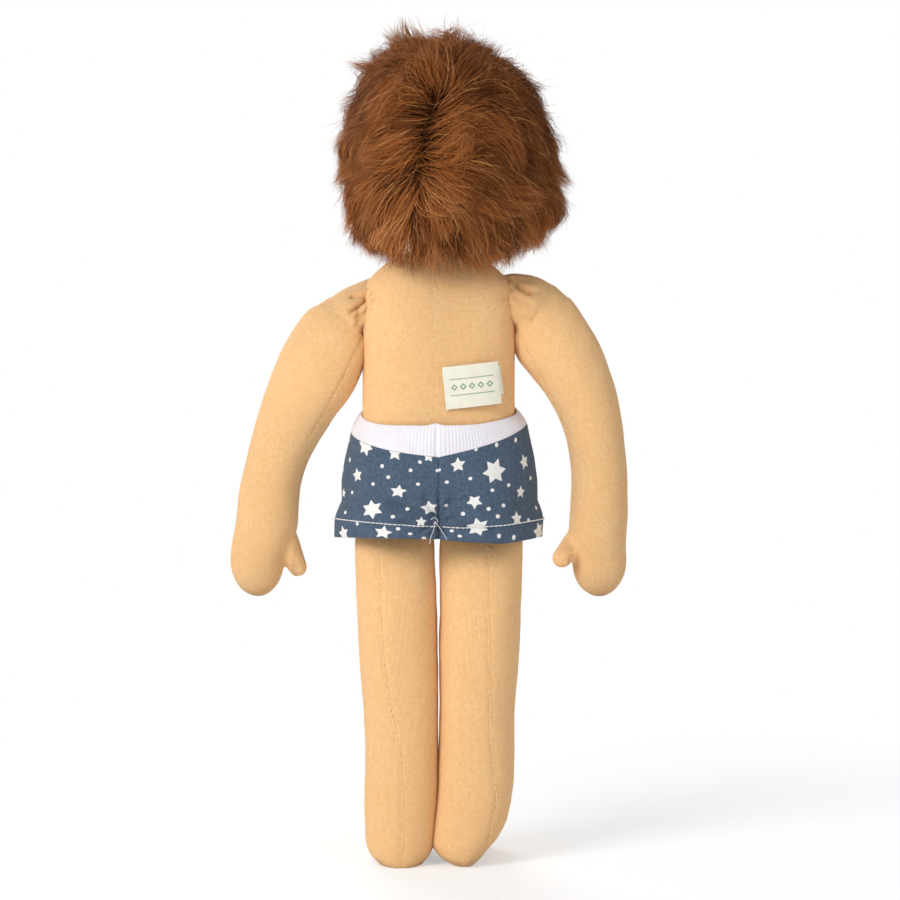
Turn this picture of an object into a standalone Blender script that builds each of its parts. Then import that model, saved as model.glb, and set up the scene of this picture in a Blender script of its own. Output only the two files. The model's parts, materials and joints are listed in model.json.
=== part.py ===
# A stuffed Waldorf doll in star-print shorts, standing with its arms held a little out.
# Metres, +Z up. The doll faces -Y, its left side is +X, and its soles stand on z = 0.
# Each limb is a knitted skin over a wool filling, sewn to the torso with strong thread.

import math

import bmesh
import bpy
from mathutils import Vector

MM = 0.001
SIDE_X = Vector((1.0, 0.0, 0.0))
BACK_Y = Vector((0.0, 1.0, 0.0))
UP_Z = Vector((0.0, 0.0, 1.0))

# Walls, thread and fit
SKIN_WALL = 0.5 * MM
TUBE_WALL = 0.5 * MM
CLOTH_WALL = 0.8 * MM
FIT_GAP = 0.3 * MM
OVERRUN = 6.0 * MM
SEWING_THREAD = 0.6 * MM
STRONG_THREAD = 1.4 * MM
TIE_THREAD = 0.8 * MM

# Legs and feet
LEG_LENGTH = 164.0 * MM
LEG_WIDTH = 35.8 * MM
LEG_DEPTH = 35.0 * MM
LEG_SPACING = 40.6 * MM
LEG_MOUTH_SLIT = 0.6 * MM
LEG_TOE_IN = 2.9 * MM
HEEL_ROUNDING = 14.0 * MM
FOOT_LENGTH = 61.0 * MM
FOOT_WIDTH = 32.5 * MM
FOOT_HEIGHT = 28.0 * MM
SOLE_CUT = 0.5 * MM
ANKLE_STITCH_HEIGHT = 28.5 * MM

# Torso
TORSO_HEIGHT = 114.5 * MM
TORSO_WIDTH = 69.0 * MM
TORSO_DEPTH = 45.0 * MM
TORSO_SEAM_HALF = 0.8 * MM
BACK_STITCH_PITCH = 4.2 * MM
BACK_STITCH_SWING = 0.5 * MM

# Arms and hands
SHOULDER_DROP = 24.5 * MM
RIGHT_SHOULDER_LIFT = 1.6 * MM
ARM_ROOT_RADIUS = 10.8 * MM
ARM_LENGTH = 131.3 * MM
LEFT_ARM_SPREAD = 46.2 * MM
RIGHT_ARM_SPREAD = 37.1 * MM
ARM_WIDTH = 36.4 * MM
ARM_DEPTH = 33.0 * MM
HAND_REACH = 16.8 * MM
WOOL_ROOT_SLACK = 1.2 * MM
THUMB_LENGTH = 13.6 * MM
THUMB_BASE_RADIUS = 4.9 * MM
THUMB_TIP_RADIUS = 3.4 * MM

# Head and neck
NECK_RADIUS = 12.0 * MM
NECK_DEPTH = 6.0 * MM
NECK_WAIST_RISE = 4.6 * MM
NECK_WAIST_SINK = 0.5 * MM
NECK_TURN_GAP = 0.8 * MM
HEAD_RISE = 43.0 * MM
HEAD_WIDTH = 84.0 * MM
HEAD_DEPTH = 81.0 * MM
HEAD_HEIGHT = 84.0 * MM
HEAD_LEAN_DEGREES = 4.5
EYE_DROP = 1.4 * MM
EYE_SPACING = 27.0 * MM
EYE_RADIUS = 1.9 * MM
EYE_THICKNESS = 0.9 * MM
MOUTH_WIDTH = 9.0 * MM
MOUTH_DROP = 14.5 * MM
MOUTH_SAG = 1.3 * MM

# Fur hair
FUR_TOP = 56.4 * MM
FUR_NAPE = 49.5 * MM
FUR_WIDTH = 101.0 * MM
FUR_FRONT = 44.0 * MM
FUR_BACK = 53.0 * MM
FUR_OFFSET = 3.6 * MM
FACE_OPENING_RADIUS = 35.0 * MM
FACE_OPENING_TILT_DEGREES = 24.0
FACE_OPENING_DROP = 7.0 * MM
NAPE_OPENING_RADIUS = 32.0 * MM
NAPE_OPENING_TOP_RADIUS = 18.0 * MM
NAPE_OPENING_RISE = 8.0 * MM

# Shorts
HEM_DROP = 15.0 * MM
SHORTS_LENGTH = 46.7 * MM
HEM_SIDE_EASE = 9.5 * MM
HEM_DEPTH_EASE = 13.0 * MM
WAIST_SIDE_EASE = 5.5 * MM
WAIST_DEPTH_EASE = 3.5 * MM
SHORTS_HEM_WIDTH = LEG_SPACING + LEG_WIDTH + 2 * HEM_SIDE_EASE
SHORTS_HEM_DEPTH = LEG_DEPTH + 2 * HEM_DEPTH_EASE
SHORTS_WAIST_WIDTH = TORSO_WIDTH + 2 * WAIST_SIDE_EASE
SHORTS_WAIST_DEPTH = TORSO_DEPTH + 2 * WAIST_DEPTH_EASE
CROTCH_DROP = 7.0 * MM
FOLD_DEPTH = 1.3 * MM
WAISTBAND_HEIGHT = 10.4 * MM
WAISTBAND_WALL = 1.3 * MM
WAIST_BACK_DIP = 7.5 * MM
WAIST_SIDE_LIFT = 1.6 * MM
HEM_STITCH_RISE = 8.2 * MM

# Labels
LABEL_WIDTH = 25.0 * MM
LABEL_HEIGHT = 19.0 * MM
LABEL_THICKNESS = 0.4 * MM
LABEL_BOTTOM_RISE = 45.5 * MM
LABEL_TILT_DEGREES = 6.0
LABEL_LIFT = 3.2 * MM
LABEL_SEAM_OFFSET = 1.4 * MM
CARE_LABEL_EXTRA = 3.0 * MM
CARE_LABEL_HEIGHT = 15.0 * MM
CARE_LABEL_BOTTOM_RISE = 49.5 * MM

# How many sides and steps the round forms have
LIMB_SIDES = 12
BODY_SIDES = 16
SHORTS_SIDES = 32
RING_STEPS = 20
THREAD_SIDES = 5

# Squareness of the cross-sections: 2 is an ellipse, and more is boxier
ROUND = 2.0
FOOT_POWER = 2.5
TORSO_POWER = 2.35
HEAD_POWER = 2.05
SHORTS_POWER = 2.3
HEEL_SIDE_POWER = 2.3
HEEL_BACK_POWER = 4.5

# Rows run down the leg: place along it, drift towards the toe-in, width, depth.
LEG_SHARES = (
    (0.037, 0.00, 0.955, 0.262),
    (0.073, 0.00, 0.980, 0.510),
    (0.122, 0.02, 1.000, 0.760),
    (0.183, 0.08, 1.000, 0.945),
    (0.260, 0.18, 1.000, 1.000),
    (0.430, 0.48, 0.975, 0.965),
    (0.560, 0.82, 0.925, 0.930),
    (0.700, 1.00, 0.922, 0.905),
    (0.800, 1.00, 0.938, 0.910),
    (0.890, 1.00, 0.945, 0.905),
)
LEG_MOUTH_WIDTH_SHARE = 0.92
HEEL_RING_SHARES = (0.40, 0.70, 0.88, 0.962)

# Rows run forward along the foot: place from heel to toe, width, height.
FOOT_SHARES = (
    (0.22, 0.86, 0.90),
    (0.42, 0.97, 1.06),
    (0.60, 1.00, 1.00),
    (0.76, 0.97, 0.90),
)
TOE_RING_SHARES = (0.45, 0.76, 0.94)
TOE_LIFT_SHARE = 0.8

# Rows run up the torso: height, width, depth.
TORSO_SHARES = (
    (0.042, 0.975, 0.205),
    (0.095, 0.985, 0.440),
    (0.165, 0.995, 0.685),
    (0.255, 1.000, 0.880),
    (0.370, 1.000, 0.985),
    (0.540, 1.000, 1.000),
    (0.700, 1.000, 0.960),
    (0.800, 0.985, 0.880),
    (0.868, 0.945, 0.790),
    (0.918, 0.800, 0.700),
    (0.962, 0.620, 0.620),
)
TORSO_SEAM_WIDTH_SHARE = 0.95

# Rows run down the arm: place outward, drop, tilt of the cross-section in degrees, width, depth.
LEFT_ARM_SHARES = (
    (0.156, 0.034, 54.0, 0.66, 0.62),
    (0.286, 0.089, 26.0, 0.79, 0.76),
    (0.370, 0.160, 16.0, 0.935, 0.90),
    (0.458, 0.248, 20.0, 1.000, 1.00),
    (0.583, 0.334, 22.0, 0.895, 0.95),
    (0.691, 0.417, 21.0, 0.825, 0.89),
    (0.775, 0.499, 17.0, 0.765, 0.84),
    (0.838, 0.582, 13.0, 0.742, 0.81),
    (0.881, 0.665, 8.0, 0.764, 0.81),
    (0.907, 0.748, 6.0, 0.775, 0.80),
    (0.962, 0.820, 3.0, 0.728, 0.75),
    (0.996, 0.872, 0.0, 0.670, 0.68),
)
RIGHT_ARM_SHARES = (
    (0.232, 0.022, 55.0, 0.74, 0.64),
    (0.391, 0.090, 26.0, 0.850, 0.78),
    (0.501, 0.160, 19.0, 0.955, 0.92),
    (0.706, 0.265, 22.0, 0.850, 0.97),
    (0.830, 0.348, 18.0, 0.785, 0.93),
    (0.903, 0.431, 12.0, 0.735, 0.88),
    (0.951, 0.514, 8.0, 0.705, 0.84),
    (0.976, 0.596, 3.0, 0.700, 0.81),
    (0.981, 0.680, 0.0, 0.712, 0.81),
    (0.970, 0.762, -1.0, 0.736, 0.80),
    (0.951, 0.834, 0.0, 0.728, 0.75),
    (0.976, 0.884, 0.0, 0.690, 0.68),
)
HAND_RING_SHARES = (0.45, 0.76, 0.94)

# Where each thumb starts (outward, drop) and which way it points (outward, back, down).
LEFT_THUMB_START_SHARES = (0.72, 0.805)
LEFT_THUMB_WAY = (-0.33, -0.10, -0.94)
RIGHT_THUMB_START_SHARES = (0.70, 0.820)
RIGHT_THUMB_WAY = (-0.50, 0.72, -0.48)

# Rows run up the head ball: latitude in degrees, front depth, and 1 where the eye line is tied in.
HEAD_SHARES = (
    (-62.0, 0.90, 0.0),
    (-48.0, 0.97, 0.0),
    (-34.0, 1.01, 0.0),
    (-20.0, 1.01, 0.0),
    (-9.0, 0.985, 0.0),
    (-2.0, 0.965, 1.0),
    (5.0, 0.970, 0.0),
    (18.0, 0.990, 0.0),
    (32.0, 1.000, 0.0),
    (47.0, 1.000, 0.0),
    (62.0, 1.000, 0.0),
    (76.0, 1.000, 0.0),
)
EYE_LATITUDE_DEGREES = -2.0

# Rows run up the fur: height from nape to crown, middle of the row, width, front, back.
FUR_SHARES = (
    (0.000, -0.05, 0.50, 0.30, 0.66),
    (0.055, -0.06, 0.74, 0.55, 0.84),
    (0.125, 0.00, 0.87, 0.80, 0.94),
    (0.230, 0.28, 0.975, 0.94, 1.00),
    (0.340, 0.34, 1.00, 1.00, 1.00),
    (0.450, 0.18, 1.00, 1.00, 1.00),
    (0.560, 0.00, 0.985, 1.00, 0.98),
    (0.670, -0.22, 0.915, 0.96, 0.94),
    (0.780, -0.34, 0.820, 0.86, 0.86),
    (0.880, -0.72, 0.700, 0.70, 0.72),
    (0.960, -0.72, 0.440, 0.42, 0.44),
)

# Rows run up the shorts: height from hem to waist, place between hem and waist size.
SHORTS_SHARES = (
    (0.00, 0.00),
    (0.20, 0.03),
    (0.42, 0.30),
    (0.70, 0.62),
    (1.00, 1.00),
)
FOLDS_PER_LEG = 3
BAND_TOP_TILT_SHARE = 0.6


def rgb(red, green, blue):
    """A colour written from 0 to 255 as it looks on screen, as the linear value that a shader takes."""
    shown = (red / 255, green / 255, blue / 255)
    return tuple(c / 12.92 if c <= 0.04045 else ((c + 0.055) / 1.055) ** 2.4 for c in shown)


def material(name, colour, roughness):
    made = bpy.data.materials.new(name)
    made.use_nodes = True
    shader = made.node_tree.nodes["Principled BSDF"]
    shader.inputs["Base Color"].default_value = (*colour, 1.0)
    shader.inputs["Roughness"].default_value = roughness
    shader.inputs["Metallic"].default_value = 0.0
    made.diffuse_color = (*colour, 1.0)
    return made


def clear_scene():
    for obj in list(bpy.data.objects):
        bpy.data.objects.remove(obj, do_unlink=True)


def empty(name, parent=None, place=(0.0, 0.0, 0.0), lean_degrees=0.0):
    made = bpy.data.objects.new(name, None)
    bpy.context.scene.collection.objects.link(made)
    made.parent = parent
    made.location = place
    made.rotation_euler = (0.0, math.radians(lean_degrees), 0.0)
    return made


def link_mesh(name, mesh_tool, parent, look=None):
    """Turns a bmesh into a linked object under its parent empty, with smooth round sides."""
    bmesh.ops.recalc_face_normals(mesh_tool, faces=mesh_tool.faces)
    mesh = bpy.data.meshes.new(name)
    mesh_tool.to_mesh(mesh)
    mesh_tool.free()
    mesh.shade_smooth()
    mesh.set_sharp_from_angle(angle=math.radians(45.0))
    made = bpy.data.objects.new(name, mesh)
    bpy.context.scene.collection.objects.link(made)
    made.parent = parent
    if look:
        mesh.materials.append(look)
    return made


def cutter(obj):
    obj.hide_render = True
    obj.display_type = "WIRE"
    return obj


def combine(obj, other, operation):
    """Adds an exact Boolean of the other object, which becomes a hidden helper."""
    cutter(other)
    step = obj.modifiers.new(f"{operation.lower()}_{other.name}", "BOOLEAN")
    step.operation = operation
    step.solver = "EXACT"
    step.object = other
    return obj


def ring(centre, across, out, halves, power, sides):
    """Points of a rounded cross-section. across and out are unit vectors, and out points to the back.

    halves holds the half width, the half depth to the back and, where it differs, that to the front.
    """
    half_across, half_back, half_front = halves[0], halves[1], halves[-1]
    points = []
    for i in range(sides):
        angle = 2 * math.pi * i / sides
        c, s = math.cos(angle), math.sin(angle)
        along = math.copysign(abs(c) ** (2 / power), c) * half_across
        depth = math.copysign(abs(s) ** (2 / power), s) * (half_back if s > 0 else half_front)
        points.append(centre + across * along + out * depth)
    return points


def disc(centre, across, out, radius, sides):
    """Points of a round cross-section."""
    return ring(centre, across, out, (radius, radius), ROUND, sides)


def loft(name, rings, parent, look=None, first_tip=None, last_tip=None):
    """A closed skin through rings of equal count, each end closed by a point or by a flat face."""
    mesh_tool = bmesh.new()
    loops = [[mesh_tool.verts.new(point) for point in points] for points in rings]
    sides = len(loops[0])
    for lower, upper in zip(loops, loops[1:]):
        for i in range(sides):
            j = (i + 1) % sides
            mesh_tool.faces.new((lower[i], lower[j], upper[j]))
            mesh_tool.faces.new((lower[i], upper[j], upper[i]))
    for loop, tip in ((loops[0], first_tip), (loops[-1], last_tip)):
        if tip is None:
            mesh_tool.faces.new(loop)
            continue
        point = mesh_tool.verts.new(tip)
        for i in range(sides):
            mesh_tool.faces.new((loop[i], loop[(i + 1) % sides], point))
    return link_mesh(name, mesh_tool, parent, look)


def block(name, low, high, parent):
    """A box between two corners, used as a cutter."""
    mesh_tool = bmesh.new()
    bmesh.ops.create_cube(mesh_tool, size=1.0)
    for vertex in mesh_tool.verts:
        for axis in range(3):
            vertex.co[axis] = high[axis] if vertex.co[axis] > 0 else low[axis]
    return link_mesh(name, mesh_tool, parent)


def drum(name, start, end, radii, parent):
    """A round bar or cone between two points, used as a cutter."""
    way = (end - start).normalized()
    out = way.cross(SIDE_X)
    rings = []
    for point, radius in zip((start, end), radii):
        rings.append(disc(point, SIDE_X, out, radius, RING_STEPS))
    return loft(name, rings, parent)


def thread(name, points, diameter, parent, look, closed=False):
    """A round thread along a route: one tube, in a loop or with flat ends."""
    count = len(points)
    rings = []
    for i, point in enumerate(points):
        before = points[(i - 1) % count] if closed or i else point
        after = points[(i + 1) % count] if closed or i < count - 1 else point
        way = (after - before).normalized()
        beside = UP_Z if abs(way.z) < abs(way.x) + abs(way.y) else BACK_Y
        across = way.cross(beside).normalized()
        out = way.cross(across)
        half = diameter / 2
        rings.append(disc(point, across, out, half, THREAD_SIDES))
    if not closed:
        return loft(name, rings, parent, look)
    mesh_tool = bmesh.new()
    loops = [[mesh_tool.verts.new(point) for point in points_of_ring] for points_of_ring in rings]
    for i in range(count):
        lower, upper = loops[i], loops[(i + 1) % count]
        for j in range(THREAD_SIDES):
            k = (j + 1) % THREAD_SIDES
            mesh_tool.faces.new((lower[j], lower[k], upper[k], upper[j]))
    return link_mesh(name, mesh_tool, parent, look)


def rounding(share, power):
    """How wide a rounded end still is at this share of its reach."""
    return (1 - share**power) ** (1 / power)


# Leg and foot

HIP_THREAD_RADIUS = STRONG_THREAD / 2
LEG_TOP_DROP = HIP_THREAD_RADIUS + FIT_GAP
LEG_MOUTH_HALF = SKIN_WALL + LEG_MOUTH_SLIT / 2


def leg_tube(name, side, inset, parent, look=None, from_row=None):
    """The leg from hip to heel, inset from its outer surface. It starts past the mouth, or at a row."""
    floor_inset = SOLE_CUT + inset if inset else 0.0
    rings = []
    if from_row is None:
        half_width = LEG_WIDTH / 2 * LEG_MOUTH_WIDTH_SHARE - inset
        half_depth = LEG_MOUTH_HALF - inset
        tops = (LEG_TOP_DROP - OVERRUN, LEG_TOP_DROP) if inset else (LEG_TOP_DROP,)
        for drop in tops:
            centre = -drop * UP_Z
            rings.append(ring(centre, SIDE_X, BACK_Y, (half_width, half_depth), ROUND, LIMB_SIDES))
    for place, drift, width, depth in LEG_SHARES[from_row or 0 :]:
        centre = -side * LEG_TOE_IN * drift * SIDE_X - LEG_LENGTH * place * UP_Z
        half_width = LEG_WIDTH / 2 * width - inset
        half_depth = LEG_DEPTH / 2 * depth - inset
        rings.append(ring(centre, SIDE_X, BACK_Y, (half_width, half_depth), ROUND, LIMB_SIDES))
    bottom = LEG_LENGTH + SOLE_CUT - floor_inset
    reach = HEEL_ROUNDING + SOLE_CUT - floor_inset
    _, drift, width, depth = LEG_SHARES[-1]
    middle = -side * LEG_TOE_IN * drift * SIDE_X
    for share in HEEL_RING_SHARES:
        centre = middle - (bottom - reach + reach * share) * UP_Z
        half_width = (LEG_WIDTH / 2 * width - inset) * rounding(share, HEEL_SIDE_POWER)
        half_depth = (LEG_DEPTH / 2 * depth - inset) * rounding(share, HEEL_BACK_POWER)
        rings.append(ring(centre, SIDE_X, BACK_Y, (half_width, half_depth), ROUND, LIMB_SIDES))
    return loft(name, rings, parent, look, last_tip=middle - bottom * UP_Z)


def foot_tube(name, side, inset, parent, look=None):
    """The foot from inside the heel to the toe, inset from its outer surface."""
    floor_inset = SOLE_CUT + inset if inset else 0.0
    heel = LEG_DEPTH / 2 * LEG_SHARES[-1][3]
    middle = -side * LEG_TOE_IN * SIDE_X
    bottom = -LEG_LENGTH - SOLE_CUT + floor_inset
    rings = []
    for place, width, height in FOOT_SHARES:
        half_height = (FOOT_HEIGHT * height - inset - floor_inset) / 2
        centre = middle + (heel - FOOT_LENGTH * place) * BACK_Y + (bottom + half_height) * UP_Z
        half_width = FOOT_WIDTH / 2 * width - inset
        rings.append(ring(centre, SIDE_X, UP_Z, (half_width, half_height), FOOT_POWER, LIMB_SIDES))
    place, width, height = FOOT_SHARES[-1]
    reach = FOOT_LENGTH * (1 - place) - inset
    full_height = (FOOT_HEIGHT * height - inset - floor_inset) / 2
    for share in TOE_RING_SHARES:
        size = rounding(share, ROUND)
        half_height = full_height * size
        lift = full_height * (1 - size) * TOE_LIFT_SHARE
        centre = middle + (heel - FOOT_LENGTH * place - reach * share) * BACK_Y
        centre = centre + (bottom + half_height + lift) * UP_Z
        half_width = (FOOT_WIDTH / 2 * width - inset) * size
        rings.append(ring(centre, SIDE_X, UP_Z, (half_width, half_height), FOOT_POWER, LIMB_SIDES))
    tip = middle + (heel - FOOT_LENGTH * place - reach) * BACK_Y
    tip = tip + (bottom + full_height * TOE_LIFT_SHARE) * UP_Z
    return loft(name, rings, parent, look, last_tip=tip)


def sole_block(name, parent):
    low = Vector((-LEG_WIDTH, -FOOT_LENGTH, -LEG_LENGTH - OVERRUN))
    high = Vector((LEG_WIDTH, FOOT_LENGTH, -LEG_LENGTH))
    return block(name, low, high, parent)


def leg(label, side, parent, looks):
    """One leg: its skin with the foot turned forward, its wool, and the stitch across the ankle."""
    skin = leg_tube(f"{label}_leg_skin", side, 0.0, parent, looks["skin"])
    combine(skin, foot_tube(f"{label}_foot_form", side, 0.0, parent), "UNION")
    combine(skin, leg_tube(f"{label}_leg_hollow", side, SKIN_WALL, parent), "DIFFERENCE")
    combine(skin, foot_tube(f"{label}_foot_hollow", side, SKIN_WALL, parent), "DIFFERENCE")
    combine(skin, sole_block(f"{label}_sole_cut", parent), "DIFFERENCE")
    inset = SKIN_WALL + FIT_GAP
    wool = leg_tube(f"{label}_leg_wool", side, inset, parent, looks["wool"], from_row=0)
    combine(wool, foot_tube(f"{label}_foot_wool_form", side, inset, parent), "UNION")


def hip_seam(label, parent, look):
    """The straight line of strong thread that the leg hangs and turns on."""
    half = LEG_WIDTH / 2 * LEG_MOUTH_WIDTH_SHARE
    thread(f"{label}_hip_seam_thread", [-half * SIDE_X, half * SIDE_X], STRONG_THREAD, parent, look)


# Torso

TORSO_BOTTOM_RISE = math.hypot(LEG_TOP_DROP, LEG_MOUTH_HALF) + FIT_GAP
NECK_HOLE_RADIUS = NECK_RADIUS + FIT_GAP
TORSO_TOP_RISE = TORSO_BOTTOM_RISE + TORSO_HEIGHT
NECK_RISE = TORSO_TOP_RISE + STRONG_THREAD / 2 + FIT_GAP


def torso_rings(inset, from_row=None, past_top=False):
    """Cross-sections up the torso, inset from its outer surface."""
    rings = []
    if from_row is None:
        half_width = TORSO_WIDTH / 2 * TORSO_SEAM_WIDTH_SHARE - inset
        half_depth = TORSO_SEAM_HALF
        centre = TORSO_BOTTOM_RISE * UP_Z
        rings.append(ring(centre, SIDE_X, BACK_Y, (half_width, half_depth), ROUND, BODY_SIDES))
    for height, width, depth in TORSO_SHARES[from_row or 0 :]:
        centre = (TORSO_BOTTOM_RISE + TORSO_HEIGHT * height) * UP_Z
        half_width = TORSO_WIDTH / 2 * width - inset
        half_depth = TORSO_DEPTH / 2 * depth - inset
        rings.append(ring(centre, SIDE_X, BACK_Y, (half_width, half_depth), TORSO_POWER, BODY_SIDES))
    radius = NECK_HOLE_RADIUS if inset else NECK_HOLE_RADIUS + SKIN_WALL
    tops = (TORSO_TOP_RISE, TORSO_TOP_RISE + OVERRUN) if past_top else (TORSO_TOP_RISE,)
    for height in tops:
        rings.append(disc(height * UP_Z, SIDE_X, BACK_Y, radius, BODY_SIDES))
    return rings


def torso_size(rise):
    """Half width and half depth of the torso's outside at a height above the hip line."""
    rows = []
    for height, width, depth in TORSO_SHARES:
        rows.append((TORSO_BOTTOM_RISE + TORSO_HEIGHT * height, width, depth))
    rise = min(max(rise, rows[0][0]), rows[-1][0])
    for low, high in zip(rows, rows[1:]):
        if rise <= high[0]:
            part = (rise - low[0]) / (high[0] - low[0])
            width = low[1] + (high[1] - low[1]) * part
            depth = low[2] + (high[2] - low[2]) * part
            return TORSO_WIDTH / 2 * width, TORSO_DEPTH / 2 * depth
    return TORSO_WIDTH / 2 * rows[-1][1], TORSO_DEPTH / 2 * rows[-1][2]


def torso_back(x, rise):
    """How far back the torso's surface is at this place."""
    half_width, half_depth = torso_size(rise)
    share = min(abs(x) / half_width, 1.0)
    return half_depth * (1 - share**TORSO_POWER) ** (1 / TORSO_POWER)


def torso(parent, looks):
    skin = loft("torso_skin", torso_rings(0.0), parent, looks["skin"])
    inside = torso_rings(SKIN_WALL, from_row=0, past_top=True)
    combine(skin, loft("torso_hollow", inside, parent), "DIFFERENCE")
    inset = SKIN_WALL + FIT_GAP
    rings = torso_rings(inset, from_row=0)[:-1]
    wool = loft("torso_wool", rings, parent, looks["wool"])
    pivot = NECK_RISE * UP_Z
    reach = NECK_RADIUS + NECK_TURN_GAP
    hollow = loft("neck_hollow", ball_rings(pivot, reach), parent, first_tip=pivot - reach * UP_Z,
                  last_tip=pivot + reach * UP_Z)
    combine(wool, hollow, "DIFFERENCE")


BALL_LATITUDES = (-70.0, -48.0, -24.0, 0.0, 24.0, 48.0, 70.0)


def ball_rings(centre, radius):
    rings = []
    for degrees in BALL_LATITUDES:
        latitude = math.radians(degrees)
        size = radius * math.cos(latitude)
        middle = centre + radius * math.sin(latitude) * UP_Z
        rings.append(disc(middle, SIDE_X, BACK_Y, size, BODY_SIDES))
    return rings


def back_seam(parent, look):
    """The hand-sewn seam down the middle of the back: one thread that steps from side to side."""
    low = TORSO_BOTTOM_RISE + TORSO_SHARES[1][0] * TORSO_HEIGHT
    high = TORSO_BOTTOM_RISE + TORSO_SHARES[-2][0] * TORSO_HEIGHT
    count = int((high - low) / BACK_STITCH_PITCH * 2)
    points = []
    for i in range(count + 1):
        rise = low + (high - low) * i / count
        x = BACK_STITCH_SWING * (1 if i % 2 else -1)
        y = torso_size(rise)[1] + FIT_GAP + SEWING_THREAD / 2
        points.append(Vector((x, y, rise)))
    thread("back_seam_thread", points, SEWING_THREAD, parent, look)


# Arm and hand

ARM_START = 2 * FIT_GAP + STRONG_THREAD


def arm_centre(spread, outward, drop):
    return Vector((ARM_START + spread * outward, 0.0, -ARM_LENGTH * drop))


def arm_tube(name, side, rows, spread, inset, parent, look=None, closed_root=False):
    """The arm from its gathered root to the fingertips, inset from its outer surface."""
    rings = []
    root = ARM_ROOT_RADIUS - inset
    starts = (ARM_START - OVERRUN, ARM_START) if inset else (ARM_START,)
    if closed_root:
        root -= WOOL_ROOT_SLACK
        starts = (ARM_START + WOOL_ROOT_SLACK,)
    for start in starts:
        centre = Vector((start, 0.0, 0.0))
        rings.append(disc(centre, UP_Z, BACK_Y, root, LIMB_SIDES))
    for outward, drop, tilt, width, depth in rows:
        centre = arm_centre(spread, outward, drop)
        across = Vector((math.cos(math.radians(tilt)), 0.0, math.sin(math.radians(tilt))))
        half_width = ARM_WIDTH / 2 * width - inset
        half_depth = ARM_DEPTH / 2 * depth - inset
        rings.append(ring(centre, across, BACK_Y, (half_width, half_depth), ROUND, LIMB_SIDES))
    reach = HAND_REACH - inset
    for share in HAND_RING_SHARES:
        size = rounding(share, ROUND)
        middle = centre - reach * share * UP_Z
        halves = (half_width * size, half_depth * size)
        rings.append(ring(middle, across, BACK_Y, halves, ROUND, LIMB_SIDES))
    tip = centre - reach * UP_Z
    made = loft(name, rings, parent, look, last_tip=tip)
    return mirrored(made, side)


def thumb_tube(name, side, thumb, spread, inset, parent):
    """The thumb, from inside the hand to its round tip. thumb holds its start and its way."""
    start = arm_centre(spread, *thumb[0])
    way = Vector(thumb[1]).normalized()
    across = way.cross(BACK_Y).normalized()
    out = way.cross(across)
    rings = []
    for share in (0.0, 1.0):
        radius = THUMB_BASE_RADIUS + (THUMB_TIP_RADIUS - THUMB_BASE_RADIUS) * share - inset
        centre = start + way * THUMB_LENGTH * share
        rings.append(disc(centre, across, out, radius, LIMB_SIDES))
    for share in HAND_RING_SHARES:
        size = (THUMB_TIP_RADIUS - inset) * rounding(share, ROUND)
        middle = centre + way * (THUMB_TIP_RADIUS - inset) * share
        rings.append(disc(middle, across, out, size, LIMB_SIDES))
    made = loft(name, rings, parent, last_tip=centre + way * (THUMB_TIP_RADIUS - inset))
    return mirrored(made, side)


def mirrored(obj, side):
    """Turns a piece built for the left side into one for the right side."""
    if side < 0:
        mesh_tool = bmesh.new()
        mesh_tool.from_mesh(obj.data)
        for vertex in mesh_tool.verts:
            vertex.co.x = -vertex.co.x
        bmesh.ops.reverse_faces(mesh_tool, faces=mesh_tool.faces)
        mesh_tool.to_mesh(obj.data)
        mesh_tool.free()
    return obj


def arm(label, side, rows, spread, thumb, parent, looks):
    """One arm: its skin with hand and thumb, and its wool."""
    skin = arm_tube(f"{label}_arm_skin", side, rows, spread, 0.0, parent, looks["skin"])
    combine(skin, thumb_tube(f"{label}_thumb_form", side, thumb, spread, 0.0, parent), "UNION")
    hollow = arm_tube(f"{label}_arm_hollow", side, rows, spread, SKIN_WALL, parent)
    combine(skin, hollow, "DIFFERENCE")
    combine(skin, thumb_tube(f"{label}_thumb_hollow", side, thumb, spread, SKIN_WALL, parent), "DIFFERENCE")
    inset = SKIN_WALL + FIT_GAP
    wool = arm_tube(f"{label}_arm_wool", side, rows, spread, inset, parent, looks["wool"], closed_root=True)
    combine(wool, thumb_tube(f"{label}_thumb_wool_form", side, thumb, spread, inset, parent), "UNION")


def shoulder_ring(label, side, parent, look):
    """The ring of stitches that draws the arm's root in and holds it to the torso."""
    x = side * (FIT_GAP + STRONG_THREAD / 2)
    radius = ARM_ROOT_RADIUS - SKIN_WALL
    points = []
    for i in range(RING_STEPS):
        angle = 2 * math.pi * i / RING_STEPS
        points.append(Vector((x, radius * math.cos(angle), radius * math.sin(angle))))
    thread(f"{label}_shoulder_thread", points, STRONG_THREAD, parent, look, closed=True)


# Head

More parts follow.
